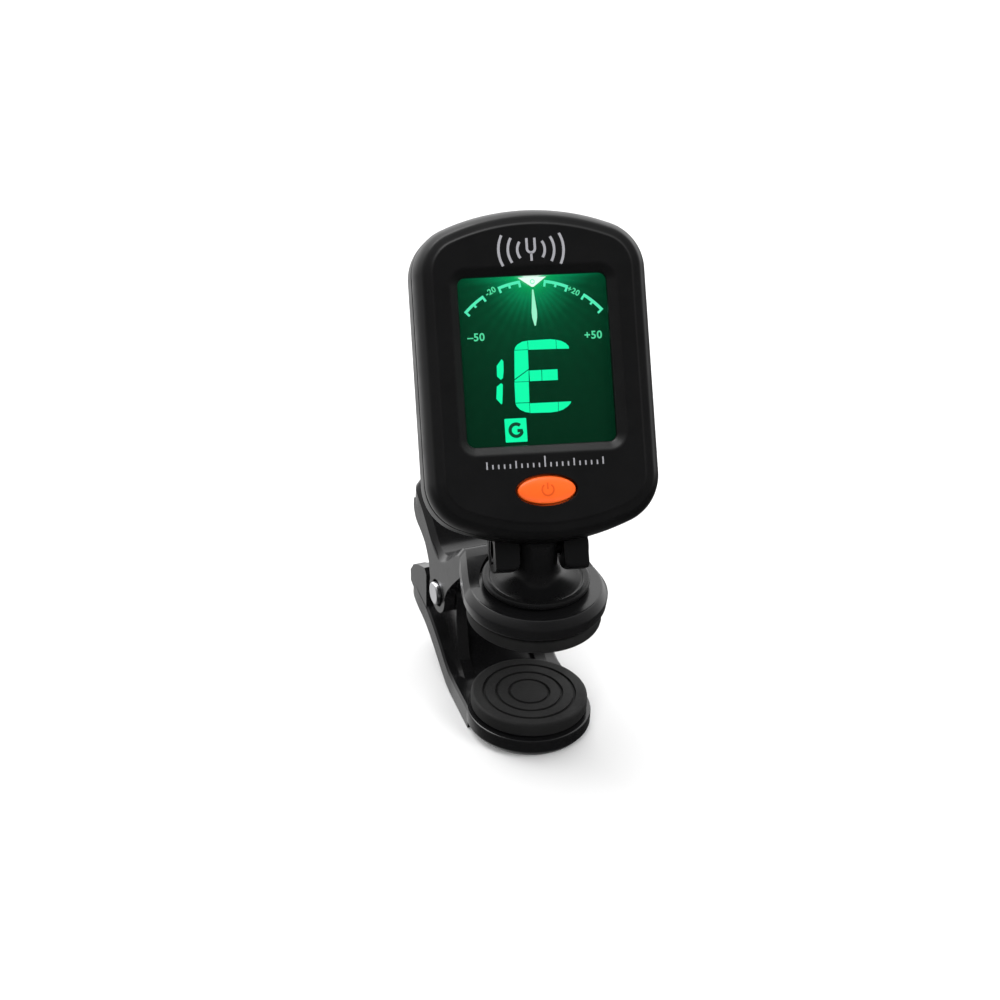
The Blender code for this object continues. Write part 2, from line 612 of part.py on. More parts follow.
def make_pivot(looks):
    centre = (PIVOT_Y, PIVOT_Z)
    outer = ARM_HALF_WIDTH + GAP
    head = PIN_HEAD_SEAT - GAP - ARM_HALF_WIDTH
    finish("pivot_pin", turned([
        (PIN_HEAD_RADIUS - 0.25, head - 1.0), (PIN_HEAD_RADIUS, head - 0.8),
        (PIN_HEAD_RADIUS, head), (PIN_RADIUS, head),
        (PIN_RADIUS, outer + 0.9), (0.9, outer + 1.2)], "X", centre, 24), None, looks["steel"])
    finish("pin_cap", tube([(PIN_RADIUS + 0.2, outer), (2.1, outer), (2.0, outer + 0.5),
                            (PIN_RADIUS + 0.2, outer + 0.8)], "X", centre, 24), None,
           looks["steel"])


def make_spring(look):
    """Close-wound torsion spring round the pin, one leg under each finger lever."""
    def point(x, radius, angle):
        turn = math.radians(angle)
        return (x, PIVOT_Y + radius * math.cos(turn), PIVOT_Z + radius * math.sin(turn))

    start, sweep = 120.0, -(COIL_TURNS * 360.0 + 60.0)
    steps = COIL_TURNS * 14
    coil = [point(-COIL_HALF_LENGTH + 2 * COIL_HALF_LENGTH * i / steps, COIL_RADIUS,
                  start + sweep * i / steps) for i in range(steps + 1)]
    upper_leg = [(-COIL_HALF_LENGTH, 22.4, 2.4), (-COIL_HALF_LENGTH, 19.0, -0.1)]
    lower_leg = [(COIL_HALF_LENGTH, 18.2, -7.3), (COIL_HALF_LENGTH, 22.6, -7.9)]
    finish("torsion_spring", swept_wire(upper_leg + coil + lower_leg, WIRE_RADIUS, 8), None, look)


# ---------------------------------------------------------------- assembly

def build():
    clear_scene()
    looks = {
        "black": material("black_plastic", (0.012, 0.012, 0.013), 0.42),
        "orange": material("orange_plastic", (0.85, 0.16, 0.03), 0.4),
        "clear": material("clear_plastic", (0.75, 0.8, 0.78), 0.05),
        "lcd": material("lcd_glass", (0.002, 0.05, 0.018), 0.15),
        "white": material("white_plastic", (0.75, 0.75, 0.72), 0.5),
        "guide": material("light_guide_plastic", (0.55, 0.85, 0.6), 0.2),
        "led": material("led_resin", (0.8, 0.9, 0.6), 0.3),
        "zebra": material("zebra_rubber", (0.12, 0.12, 0.12), 0.7),
        "board": material("board_green", (0.01, 0.11, 0.04), 0.45),
        "steel": material("bright_steel", (0.62, 0.62, 0.64), 0.22, 1.0),
        "brass": material("piezo_brass", (0.7, 0.5, 0.18), 0.3, 1.0),
        "ceramic": material("piezo_ceramic", (0.8, 0.78, 0.7), 0.5),
        "red": material("red_insulation", (0.5, 0.02, 0.02), 0.5),
        "rubber": material("black_rubber", (0.018, 0.018, 0.018), 0.75),
    }
    swivel = empty("swivel_axis", (0, 0, 0), rotation_z=SWIVEL_ANGLE)
    head = empty("tilt_axis", (0, 0, TILT_AXIS_Z), rotation_x=TILT_ANGLE, parent=swivel)
    jaw = empty("jaw_axis", (0, PIVOT_Y, PIVOT_Z))

    make_front_shell(head, looks["black"])
    make_rear_shell(head, looks["black"])
    make_battery_cover(head, looks["black"])
    make_display(head, looks)
    make_button(head, looks)
    make_circuit_board(head, looks["board"])
    make_electronics(head, looks)
    make_cell(head, looks)
    make_case_screws(head, looks["steel"])
    make_tilt_fasteners(head, looks["steel"])
    make_post(swivel, looks)
    make_upper_arm(looks["black"])
    make_lower_arm(jaw, looks["black"])
    make_pads(jaw, looks["rubber"])
    make_pivot(looks)
    make_spring(looks["steel"])


build()
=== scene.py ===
"""Looks for the clip-on tuner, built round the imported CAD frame.

Shapes are drawn in millimetres in one of four local frames (clip, swivel, head, jaw), whose places
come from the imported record's joints, and are scaled to metres when they are placed.
Head frame: origin on the tilt axis, +X along it, +Z up the face. A point at depth d behind the
face has y = FACE_Y + d.
"""

import functools
import json
import math

import bmesh
import bpy
from mathutils import Matrix, Vector


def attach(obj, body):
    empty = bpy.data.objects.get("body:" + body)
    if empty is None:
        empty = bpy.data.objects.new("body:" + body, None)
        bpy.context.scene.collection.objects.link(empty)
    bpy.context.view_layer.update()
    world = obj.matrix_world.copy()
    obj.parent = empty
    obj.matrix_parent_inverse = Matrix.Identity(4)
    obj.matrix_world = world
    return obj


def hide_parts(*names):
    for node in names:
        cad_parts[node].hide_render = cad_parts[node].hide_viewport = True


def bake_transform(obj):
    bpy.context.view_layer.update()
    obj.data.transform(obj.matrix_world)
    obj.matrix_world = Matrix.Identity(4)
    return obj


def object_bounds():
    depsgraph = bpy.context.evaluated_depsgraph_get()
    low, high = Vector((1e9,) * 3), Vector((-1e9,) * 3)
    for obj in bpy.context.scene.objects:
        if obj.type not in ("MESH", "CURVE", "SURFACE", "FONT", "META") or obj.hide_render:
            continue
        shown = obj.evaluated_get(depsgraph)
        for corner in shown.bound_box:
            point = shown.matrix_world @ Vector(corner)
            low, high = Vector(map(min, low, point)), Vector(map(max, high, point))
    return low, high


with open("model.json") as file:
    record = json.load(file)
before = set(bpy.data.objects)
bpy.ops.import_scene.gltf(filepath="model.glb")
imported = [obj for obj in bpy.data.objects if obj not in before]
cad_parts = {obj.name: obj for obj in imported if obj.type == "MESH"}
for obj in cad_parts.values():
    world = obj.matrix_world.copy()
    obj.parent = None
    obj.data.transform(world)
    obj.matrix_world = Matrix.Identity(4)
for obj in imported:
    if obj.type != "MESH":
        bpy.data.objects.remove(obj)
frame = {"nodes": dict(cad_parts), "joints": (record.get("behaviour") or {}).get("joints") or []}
cad_low, cad_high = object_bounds()

MM = 0.001
GAP = 0.3

# Head
HEAD_HALF_WIDTH, HEAD_HALF_HEIGHT, HEAD_CENTRE_Z = 16.1, 22.8, 23.0
END_RADIUS, CORNER_RADIUS = 31.4, 6.9
HEAD_DEPTH, FACE_Y, WALL, FRONT_DEPTH = 12.8, -10.5, 1.5, 4.2
WINDOW_X, WINDOW_Z, WINDOW_CENTRE_Z = 10.3, 11.6, 24.9
BUTTON_X, BUTTON_Z, BUTTON_CENTRE_Z = 3.98, 1.86, 7.0
BUTTON_FLANGE_X, BUTTON_FLANGE_Z, BUTTON_STEM_RADIUS = 4.9, 2.35, 1.2
WINDOW_BEVEL = 1.15
SCREW_X, SCREW_Z = 10.9, (6.1, 39.9)
SCREW_HOLE_RADIUS, SCREW_HEAD_HOLE_RADIUS = 1.1, 1.65
BOARD_DEPTH, BOARD_THICKNESS = 6.0, 0.8
CELL_RADIUS, CELL_CENTRE_Z = 10.0, 31.4
COVER_HALF_WIDTH, COVER_BOTTOM_Z, COVER_DEPTH, REAR_FLOOR_DEPTH = 10.6, 20.4, 11.2, 9.9

# Joints and arms
TILT_AXIS_Z = 11.45
TILT_HOLE_RADIUS, TILT_SCREW_SEAT_RADIUS, TILT_NUT_CIRCUMRADIUS = 1.3, 2.2, 2.35
SWIVEL_HOLE_RADIUS, SWIVEL_BOSS_RADIUS, SWIVEL_WASHER_POCKET_RADIUS = 1.5, 2.9, 5.2
EAR_RADIUS, EAR_CORNER, EAR_INNER, EAR_OUTER = 3.3, 0.7, 3.1, 6.5
NECK_RADIUS = 2.8
DISC_RADIUS, DISC_TOP_RADIUS = 10.1, 9.25
DISC_TOP, DISC_SHOULDER, DISC_BOTTOM = 5.5, 4.3, 2.3
WELL_RADIUS, ARM_HALF_WIDTH, CHEEK_INNER = 7.85, 8.2, 6.6
PIVOT_Y, PIVOT_Z, PIVOT_BOSS_RADIUS, PIN_RADIUS = 15.8, -4.8, 2.9, 1.2
PIN_HEAD_RADIUS, PIN_HEAD_SEAT, PIN_RECESS_RADIUS = 1.65, 0.7, 2.0
JAW_GAP, LOWER_DISC_RADIUS = 13.0, 8.8
LOWER_CHEEK_OUTER, LOWER_CHEEK_INNER = 6.3, 4.7
UPPER_PAD_RADIUS, LOWER_PAD_RADIUS, PAD_THICKNESS = 9.4, 8.2, 2.0
WIRE_RADIUS, COIL_RADIUS, COIL_TURNS, COIL_HALF_LENGTH = 0.42, 2.35, 6, 3.3


# ---------------------------------------------------------------- local frames, from the record

joints = {joint["name"]: joint for joint in frame["joints"]}


def axes_frame(origin, x_axis, y_axis, z_axis):
    matrix = Matrix((x_axis, y_axis, z_axis)).transposed().to_4x4()
    matrix.translation = Vector(origin)
    return matrix


tilt = joints["head_tilt"]
HEAD = axes_frame(tilt["pos_m"], Vector(tilt["axis"]), Vector(joints["button_press"]["axis"]),
                  Vector(joints["cover_slide"]["axis"]))
UP = Vector((0.0, 0.0, 1.0))
SWIVEL = axes_frame((0, 0, 0), Vector(tilt["axis"]), UP.cross(Vector(tilt["axis"])), UP)
CLIP = Matrix.Identity(4)
JAW = Matrix.Translation(Vector(joints["jaw_open"]["pos_m"]))


# ---------------------------------------------------------------- shapes, in millimetres

def arc(centre, radius, start, end, segments):
    points = []
    for step in range(segments + 1):
        angle = math.radians(start + (end - start) * step / segments)
        points.append((centre[0] + radius * math.cos(angle), centre[1] + radius * math.sin(angle)))
    return points


def loft(rings, closed_path=False):
    bm = bmesh.new()
    loops = [[bm.verts.new(point) for point in ring] for ring in rings]
    pairs = list(zip(loops, loops[1:]))
    if closed_path:
        pairs.append((loops[-1], loops[0]))
    else:
        bm.faces.new(loops[0])
        bm.faces.new(loops[-1])
    for first, second in pairs:
        for i in range(len(first)):
            j = (i + 1) % len(first)
            bm.faces.new((first[i], first[j], second[j], second[i]))
    return bm


PLACE = {
    "X": lambda u, v, along: (along, u, v),
    "Y": lambda u, v, along: (u, along, v),
    "Z": lambda u, v, along: (u, v, along),
}


def prism(outline, axis, low, high):
    return loft([[PLACE[axis](u, v, along) for u, v in outline] for along in (low, high)])


def turned(profile, axis="Z", centre=(0.0, 0.0), segments=96, ring=False):
    circles = []
    for radius, along in profile:
        circle = arc(centre, radius, 0, 360, segments)[:-1]
        circles.append([PLACE[axis](u, v, along) for u, v in circle])
    return loft(circles, closed_path=ring)


def rod(radius, axis, low, high, centre=(0.0, 0.0), segments=64):
    return turned([(radius, low), (radius, high)], axis, centre, segments)


def box(x, y, z):
    return prism([(x[0], y[0]), (x[1], y[0]), (x[1], y[1]), (x[0], y[1])], "Z", *z)


def oval(half_x, half_z, centre_z, segments=96):
    return [(half_x * math.cos(math.tau * i / segments),
             centre_z + half_z * math.sin(math.tau * i / segments)) for i in range(segments)]


def rounded_rectangle(half_x, half_z, centre_z, radius, segments=10):
    points = []
    for sign_x, sign_z, start in ((1, 1, 0), (-1, 1, 90), (-1, -1, 180), (1, -1, 270)):
        corner = (sign_x * (half_x - radius), centre_z + sign_z * (half_z - radius))
        points += arc(corner, radius, start, start + 90, segments)
    return points


def eased(points, steps):
    """A Catmull-Rom curve through points, with steps pieces between each two."""
    out = []
    for i in range(len(points) - 1):
        p = [points[max(i - 1, 0)], points[i], points[i + 1], points[min(i + 2, len(points) - 1)]]
        for step in range(steps):
            t = step / steps
            out.append(tuple(
                0.5 * (2 * b + (c - a) * t + (2 * a - 5 * b + 4 * c - d) * t * t
                       + (3 * b - a - 3 * c + d) * t ** 3) for a, b, c, d in zip(*p)))
    return out + [points[-1]]


def swept_wire(points, radius, segments=16):
    path = [Vector(point) for point in points]
    tangents = [(path[min(i + 1, len(path) - 1)] - path[max(i - 1, 0)]).normalized()
                for i in range(len(path))]
    normal = tangents[0].orthogonal().normalized()
    rings = []
    for i, centre in enumerate(path):
        if i:
            normal = tangents[i - 1].rotation_difference(tangents[i]) @ normal
        across = tangents[i].cross(normal).normalized()
        rings.append([centre + radius * (math.cos(math.tau * k / segments) * normal
                                         + math.sin(math.tau * k / segments) * across)
                      for k in range(segments)])
    return loft(rings)


def head_outline(inset, corner=None):
    corner = max(CORNER_RADIUS - inset, 2.0) if corner is None else corner
    half_width = HEAD_HALF_WIDTH - inset
    end_radius = END_RADIUS - inset
    arc_centre = HEAD_HALF_HEIGHT - inset - end_radius
    corner_x = half_width - corner
    corner_z = arc_centre + math.sqrt((end_radius - corner) ** 2 - corner_x ** 2)
    turn = math.degrees(math.atan2(corner_z - arc_centre, corner_x))
    quarter = arc((corner_x, corner_z), corner, 0, turn, 20)
    quarter += arc((0, arc_centre), end_radius, turn, 90, 14)[1:]
    right = quarter + [(-x, z) for x, z in reversed(quarter[:-1])]
    points = right + [(-x, -z) for x, z in right]
    return [(x, z + HEAD_CENTRE_Z) for x, z in points]


def head_ring(depth, inset, corner=None):
    return [(x, FACE_Y + depth, z) for x, z in head_outline(inset, corner)]


def at_depth(low, high):
    return FACE_Y + low, FACE_Y + high


def screw_places():
    return [(x, z) for z in SCREW_Z for x in (-SCREW_X, SCREW_X)]


# ---------------------------------------------------------------- objects

def shape(name, bm):
    bmesh.ops.recalc_face_normals(bm, faces=bm.faces)
    mesh = bpy.data.meshes.new(name)
    bm.to_mesh(mesh)
    bm.free()
    thing = bpy.data.objects.new(name, mesh)
    bpy.context.scene.collection.objects.link(thing)
    return thing


def bake(thing):
    """Replace a mesh with what its modifiers make of it."""
    mesh = bpy.data.meshes.new_from_object(
        thing.evaluated_get(bpy.context.evaluated_depsgraph_get()))
    thing.modifiers.clear()
    old = thing.data
    thing.data = mesh
    bpy.data.meshes.remove(old)


def carve(thing, steps):
    """Boolean steps, each (operation, bmesh), applied in turn."""
    tools = []
    for operation, bm in steps:
        tool = shape("tool", bm)
        tool.hide_render = True
        modifier = thing.modifiers.new("step", "BOOLEAN")
        modifier.operation = {"add": "UNION", "cut": "DIFFERENCE", "keep": "INTERSECT"}[operation]
        modifier.solver = "EXACT"
        modifier.object = tool
        tools.append(tool)
    bake(thing)
    for tool in tools:
        bpy.data.objects.remove(tool, do_unlink=True)
    bm = bmesh.new()
    bm.from_mesh(thing.data)
    bmesh.ops.remove_doubles(bm, verts=bm.verts, dist=0.002)
    bmesh.ops.dissolve_limit(bm, angle_limit=math.radians(0.3), verts=bm.verts, edges=bm.edges)
    bm.to_mesh(thing.data)
    bm.free()


def soften(thing, width, segments=3, angle=32):
    modifier = thing.modifiers.new("soften", "BEVEL")
    modifier.width = width
    modifier.segments = segments
    modifier.limit_method = "ANGLE"
    modifier.angle_limit = math.radians(angle)
    modifier.use_clamp_overlap = True
    bake(thing)


def piece(thing, place, body, look, replaces=(), sharp=38):
    thing.data.transform(Matrix.Scale(MM, 4))
    thing.data.shade_smooth()
    thing.data.set_sharp_from_angle(angle=math.radians(sharp))
    modifier = thing.modifiers.new("normals", "WEIGHTED_NORMAL")
    modifier.keep_sharp = True
    modifier.weight = 80
    bake(thing)
    thing.data.materials.clear()
    thing.data.materials.append(look)
    thing.matrix_world = place
    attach(thing, body)
    if replaces:
        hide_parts(*replaces)
    return thing


# ---------------------------------------------------------------- materials

def new_material(name):
    mat = bpy.data.materials.new(name)
    mat.use_nodes = True
    return mat, mat.node_tree.nodes, mat.node_tree.links, mat.node_tree.nodes["Principled BSDF"]


def noise(nodes, links, coords, scale, detail=3.0, roughness=0.5):
    node = nodes.new("ShaderNodeTexNoise")
    node.inputs["Scale"].default_value = scale
    node.inputs["Detail"].default_value = detail
    node.inputs["Roughness"].default_value = roughness
    links.new(coords, node.inputs["Vector"])
    return node.outputs["Fac"]


def spread(nodes, links, value, low, high, from_low=0.3, from_high=0.7):
    node = nodes.new("ShaderNodeMapRange")
    node.inputs["From Min"].default_value = from_low
    node.inputs["From Max"].default_value = from_high
    node.inputs["To Min"].default_value = low
    node.inputs["To Max"].default_value = high
    links.new(value, node.inputs["Value"])
    return node.outputs["Result"]


def maths(nodes, links, operation, first, second=None, clamp=False):
    """A Math node, each of its inputs a number or another node's output."""
    node = nodes.new("ShaderNodeMath")
    node.operation = operation
    node.use_clamp = clamp
    for socket, value in zip(node.inputs, (first, second)):
        if isinstance(value, (int, float)):
            socket.default_value = value
        elif value is not None:
            links.new(value, socket)
    return node.outputs[0]


def blend_colours(nodes, links, factor, first, second):
    node = nodes.new("ShaderNodeMix")
    node.data_type = "RGBA"
    node.inputs["A"].default_value = (*first, 1.0)
    node.inputs["B"].default_value = (*second, 1.0)
    links.new(factor, node.inputs["Factor"])
    return node.outputs["Result"]


def surface(name, dark, light, rough, metallic=0.0, specular=0.5, grain=5200, grain_depth=6e-6,
            smudge=0.06, patch=140):
    """Moulded or plated surface: two close tones in patches, a fine grain and uneven gloss."""
    mat, nodes, links, shader = new_material(name)
    coords = nodes.new("ShaderNodeTexCoord").outputs["Object"]
    tone = noise(nodes, links, coords, patch, 5.0, 0.6)
    links.new(blend_colours(nodes, links, spread(nodes, links, tone, 0.0, 1.0), dark, light),
              shader.inputs["Base Color"])
    gloss = noise(nodes, links, coords, patch * 2.3, 6.0, 0.65)
    links.new(spread(nodes, links, gloss, rough - smudge, rough + smudge),
              shader.inputs["Roughness"])
    bump = nodes.new("ShaderNodeBump")
    bump.inputs["Distance"].default_value = grain_depth
    bump.inputs["Strength"].default_value = 1.0
    links.new(noise(nodes, links, coords, grain, 2.0), bump.inputs["Height"])
    links.new(bump.outputs["Normal"], shader.inputs["Normal"])
    shader.inputs["Metallic"].default_value = metallic
    shader.inputs["Specular IOR Level"].default_value = specular
    return mat


def lit(name, colour, strength):
    mat, nodes, links, shader = new_material(name)
    coords = nodes.new("ShaderNodeTexCoord").outputs["Object"]
    tone = noise(nodes, links, coords, 400, 2.0)
    deep = tuple(0.9 * value for value in colour)
    links.new(blend_colours(nodes, links, tone, deep, colour), shader.inputs["Emission Color"])
    shader.inputs["Emission Strength"].default_value = strength
    shader.inputs["Base Color"].default_value = (0.0, 0.02, 0.01, 1.0)
    shader.inputs["Roughness"].default_value = 0.4
    return mat


LOOKS = {
    "shell": surface("shell_plastic", (0.0036, 0.0036, 0.0038), (0.0048, 0.0048, 0.0050), 0.34,
                     specular=0.27, grain_depth=3e-6),
    "yoke": surface("yoke_plastic", (0.0048, 0.0048, 0.0050), (0.0062, 0.0062, 0.0065), 0.30,
                    specular=0.2, grain_depth=1.5e-6),
    "arm": surface("arm_plastic", (0.0050, 0.0050, 0.0053), (0.0068, 0.0068, 0.0071), 0.21,
                   specular=0.46, grain_depth=1.5e-6, smudge=0.04),
    "orange": surface("orange_plastic", (0.84, 0.108, 0.013), (0.90, 0.125, 0.017), 0.36,
                      specular=0.3, grain_depth=3e-6),
    "icon": surface("icon_orange", (0.60, 0.070, 0.010), (0.64, 0.078, 0.012), 0.5, specular=0.2),
    "print": surface("light_print", (0.27, 0.27, 0.29), (0.31, 0.31, 0.33), 0.55,
                     grain_depth=3e-6),
    "rubber": surface("pad_rubber", (0.0080, 0.0080, 0.0080), (0.013, 0.013, 0.013), 0.7,
                      specular=0.3, grain=2600, grain_depth=1.6e-5),
    "steel": surface("plated_steel", (0.56, 0.56, 0.58), (0.66, 0.66, 0.68), 0.17, metallic=1.0,
                     smudge=0.07, grain_depth=2e-6),
    "dark_steel": surface("blackened_steel", (0.030, 0.030, 0.032), (0.045, 0.045, 0.047), 0.4,
                          metallic=1.0),
    "wire": surface("spring_steel", (0.42, 0.42, 0.44), (0.55, 0.55, 0.57), 0.26, metallic=1.0),
}


# ---------------------------------------------------------------- head

def make_front_shell():
    shell = shape("front_case", loft([
        head_ring(depth, inset) for depth, inset in (
            (0.0, 2.50), (0.012, 2.42), (0.045, 2.34), (0.10, 2.25), (0.16, 2.16), (0.21, 2.06),
            (0.25, 1.95), (0.38, 1.52), (0.47, 1.26), (0.54, 1.13), (0.64, 1.01), (0.78, 0.90),
            (1.05, 0.70), (1.40, 0.48), (1.85, 0.27), (2.40, 0.11), (3.00, 0.02), (3.40, 0.0),
            (3.86, 0.0), (3.98, 0.025), (4.08, 0.08), (4.15, 0.17), (FRONT_DEPTH, 0.34))]
        + [head_ring(FRONT_DEPTH, WALL), head_ring(3.0, 1.6), head_ring(WALL, 3.7)]))
    bevel = WINDOW_BEVEL
    steps = [("add", rod(1.7, "Y", *at_depth(1.2, BOARD_DEPTH - GAP), place, 32))
             for place in screw_places()]
    steps.append(("cut", loft([
        [(x, FACE_Y + depth, z) for x, z in
         rounded_rectangle(WINDOW_X + grow, WINDOW_Z + grow, WINDOW_CENTRE_Z, 1.1 + grow)]
        for depth, grow in ((-0.5, bevel + 1.2), (0.0, bevel + 0.34), (0.012, bevel + 0.22),
                            (0.045, bevel + 0.10), (0.10, bevel - 0.02), (0.20, bevel - 0.17),
                            (0.66, 0.32), (0.76, 0.19), (0.84, 0.09), (0.92, 0.03), (1.02, 0.0),
                            (2.0, 0.0))])))
    steps.append(("cut", loft([
        [(x, FACE_Y + depth, z) for x, z in
         oval(BUTTON_X + GAP + grow, BUTTON_Z + GAP + grow, BUTTON_CENTRE_Z)]
        for depth, grow in ((-0.5, 0.6), (0.0, 0.12), (0.03, 0.06), (0.10, 0.0), (3.0, 0.0))])))
    steps += [("cut", rod(SCREW_HOLE_RADIUS, "Y", *at_depth(2.2, 8.0), place, 32))
              for place in screw_places()]
    carve(shell, steps)
    return piece(shell, HEAD, "head", LOOKS["shell"], ["front_shell"])


REAR_RINGS = ((HEAD_DEPTH, 4.1), (12.78, 3.8), (12.70, 3.35), (12.5, 2.75), (12.2, 2.1),
              (11.8, 1.55), (11.2, 1.02), (10.6, 0.7), (9.8, 0.4), (9.0, 0.2), (8.1, 0.06),
              (7.2, 0.0), (4.84, 0.0), (4.72, 0.025), (4.62, 0.08), (4.55, 0.17),
              (FRONT_DEPTH + GAP, 0.34))


def rear_form():
    return [head_ring(depth, inset) for depth, inset in REAR_RINGS]


def ear(side):
    rings = []
    for x, radius in ((EAR_INNER, 2.45), (EAR_INNER + 0.05, 2.72), (EAR_INNER + 0.16, 2.93),
                      (EAR_INNER + 0.33, 3.10), (EAR_INNER + 0.55, 3.22),
                      (EAR_INNER + 0.85, EAR_RADIUS), (EAR_OUTER - 0.24, EAR_RADIUS),
                      (EAR_OUTER - 0.1, EAR_RADIUS - 0.03), (EAR_OUTER - 0.03, EAR_RADIUS - 0.1),
                      (EAR_OUTER, EAR_RADIUS - 0.24)):
        outline = [(radius, 4.6), (-EAR_RADIUS, 4.6)]
        outline += arc((EAR_CORNER - EAR_RADIUS, EAR_CORNER - radius), EAR_CORNER, 180, 270, 8)
        outline += arc((0, 0), radius, 270, 360, 20)
        rings.append([(side * x, y, z) for y, z in outline])
    return loft(rings)


def make_rear_shell():
    shell = shape("rear_case", loft(rear_form() + [
        head_ring(FRONT_DEPTH + GAP, WALL), head_ring(9.0, 1.9), head_ring(REAR_FLOOR_DEPTH, 2.8)]))
    steps = [("add", rod(11.5, "Y", *at_depth(7.2, 10.4), (0.0, CELL_CENTRE_Z), 96))]
    board_back = BOARD_DEPTH + BOARD_THICKNESS + GAP
    steps += [("add", rod(2.2, "Y", *at_depth(board_back, 10.4), place, 32))
              for place in screw_places()]
    steps.append(("add", box((-4.7, 4.7), (-4.4, 2.0), (0.6, 4.75))))
    steps += [("add", ear(side)) for side in (-1, 1)]
    seat = NECK_RADIUS + GAP
    slot = arc((0, 0), seat, 180, 90, 24) + [(6.0, seat), (6.0, -6.0), (-6.0, -6.0), (-6.0, 0.0)]
    steps.append(("cut", prism(slot, "X", -EAR_INNER, EAR_INNER)))
    steps.append(("cut", rod(TILT_HOLE_RADIUS, "X", -9.0, 9.0, segments=40)))
    steps.append(("cut", rod(TILT_SCREW_SEAT_RADIUS, "X", EAR_OUTER - 1.3, 9.0, segments=48)))
    hexagon = arc((0, 0), TILT_NUT_CIRCUMRADIUS, 0, 360, 6)[:-1]
    steps.append(("cut", prism(hexagon, "X", -9.0, -EAR_OUTER + 1.5)))
    steps.append(("cut", rod(CELL_RADIUS + GAP, "Y", *at_depth(6.0, 14.0),
                             (0.0, CELL_CENTRE_Z), 96)))
    channel = COVER_HALF_WIDTH + GAP
    steps.append(("cut", box((-channel, channel), at_depth(COVER_DEPTH - GAP, 14.0),
                             (COVER_BOTTOM_Z - GAP, 50.0))))
    steps.append(("cut", box((-2.8, 2.8), at_depth(6.5, REAR_FLOOR_DEPTH + 1.0), (40.4, 43.3))))
    steps.append(("cut", rod(6.8, "Y", *at_depth(8.0, 11.3), (0.0, 13.2), 64)))
    for place in screw_places():
        steps.append(("cut", rod(SCREW_HOLE_RADIUS, "Y", *at_depth(6.0, 14.0), place, 32)))
        steps.append(("cut", rod(SCREW_HEAD_HOLE_RADIUS, "Y",
                                 *at_depth(REAR_FLOOR_DEPTH - 0.2, 14.0), place, 32)))
    carve(shell, steps)
    return piece(shell, HEAD, "head", LOOKS["shell"], ["rear_shell"])


def make_battery_cover():
    cover = shape("cell_cover", box((-COVER_HALF_WIDTH, COVER_HALF_WIDTH),
                                    at_depth(COVER_DEPTH, 14.0), (COVER_BOTTOM_Z, 50.0)))
    steps = [("keep", loft(rear_form()))]
    for row in range(4):
        z = COVER_BOTTOM_Z + 3.0 + 1.6 * row
        steps.append(("cut", box((-4.5, 4.5), at_depth(12.35, 14.0), (z, z + 0.7))))
    carve(cover, steps)
    soften(cover, 0.12, 2)
    return piece(cover, HEAD, "cover", LOOKS["shell"], ["battery_cover"])


DOME = ((0.0, -0.64), (0.12, -0.635), (0.25, -0.615), (0.40, -0.58), (0.55, -0.525), (0.68, -0.445),
        (0.78, -0.36), (0.86, -0.265), (0.92, -0.165), (0.96, -0.075), (0.985, 0.01), (1.0, 0.12))


def dome_depth(x, z):
    reach = math.hypot(x / BUTTON_X, (z - BUTTON_CENTRE_Z) / BUTTON_Z)
    for (near, high), (far, low) in zip(DOME, DOME[1:]):
        if reach <= far:
            return high + (low - high) * (reach - near) / (far - near)
    return DOME[-1][1]


def make_button():
    def ring(depth, scale_x, scale_z):
        outline = oval(BUTTON_X * scale_x, BUTTON_Z * scale_z, BUTTON_CENTRE_Z)
        return [(x, FACE_Y + depth, z) for x, z in outline]

    flange = BUTTON_FLANGE_X / BUTTON_X, BUTTON_FLANGE_Z / BUTTON_Z
    stem = BUTTON_STEM_RADIUS / BUTTON_X, BUTTON_STEM_RADIUS / BUTTON_Z
    button = shape("power_key", loft(
        [ring(depth, max(scale, 0.01), max(scale, 0.01)) for scale, depth in DOME]
        + [ring(1.8, 1.0, 1.0), ring(1.8, *flange), ring(2.4, *flange),
           ring(2.4, *stem), ring(3.4, *stem)]))
    return piece(button, HEAD, "button", LOOKS["orange"], ["power_button"])


def raised_strip(points, width, low, high):
    """A flat strip along (x, z) points, its front at depth high and its back at depth low.
    low and high are functions of x and z."""
    rings = []
    for i, (x, z) in enumerate(points):
        ahead = points[min(i + 1, len(points) - 1)]
        behind = points[max(i - 1, 0)]
        along = Vector((ahead[0] - behind[0], ahead[1] - behind[1])).normalized()
        side = Vector((-along.y, along.x)) * width / 2
        left, right = (x + side.x, z + side.y), (x - side.x, z - side.y)
        rings.append([(edge[0], FACE_Y + depth(*edge), edge[1]) for edge, depth in (
            (left, low), (left, high), (right, high), (right, low))])
    return loft(rings)


def join(name, parts):
    """One object from several separate closed shapes."""
    bm = bmesh.new()
    for part in parts:
        bmesh.ops.recalc_face_normals(part, faces=part.faces)
        mesh = bpy.data.meshes.new("part")
        part.to_mesh(mesh)
        part.free()
        bm.from_mesh(mesh)
        bpy.data.meshes.remove(mesh)
    mesh = bpy.data.meshes.new(name)
    bm.to_mesh(mesh)
    bm.free()
    thing = bpy.data.objects.new(name, mesh)
    bpy.context.scene.collection.objects.link(thing)
    return thing


def make_power_icon():
    centre = (0.05, BUTTON_CENTRE_Z - 0.02)

    def back(x, z):
        return dome_depth(x, z) + 0.05

    def front(x, z):
        return dome_depth(x, z) - 0.022

    ring = raised_strip(arc(centre, 0.80, 126, 414, 40), 0.24, back, front)
    bar = raised_strip([(centre[0], centre[1] + 0.06 + 0.13 * i) for i in range(8)], 0.24,
                       back, front)
    icon = join("power_icon", [ring, bar])
    return piece(icon, HEAD, "button", LOOKS["icon"])


# ---------------------------------------------------------------- display

GRAPHIC_BACK, GRAPHIC_FRONT = 2.79, 2.70
GRAPHIC_SHIFT = (0.13, 0.16)


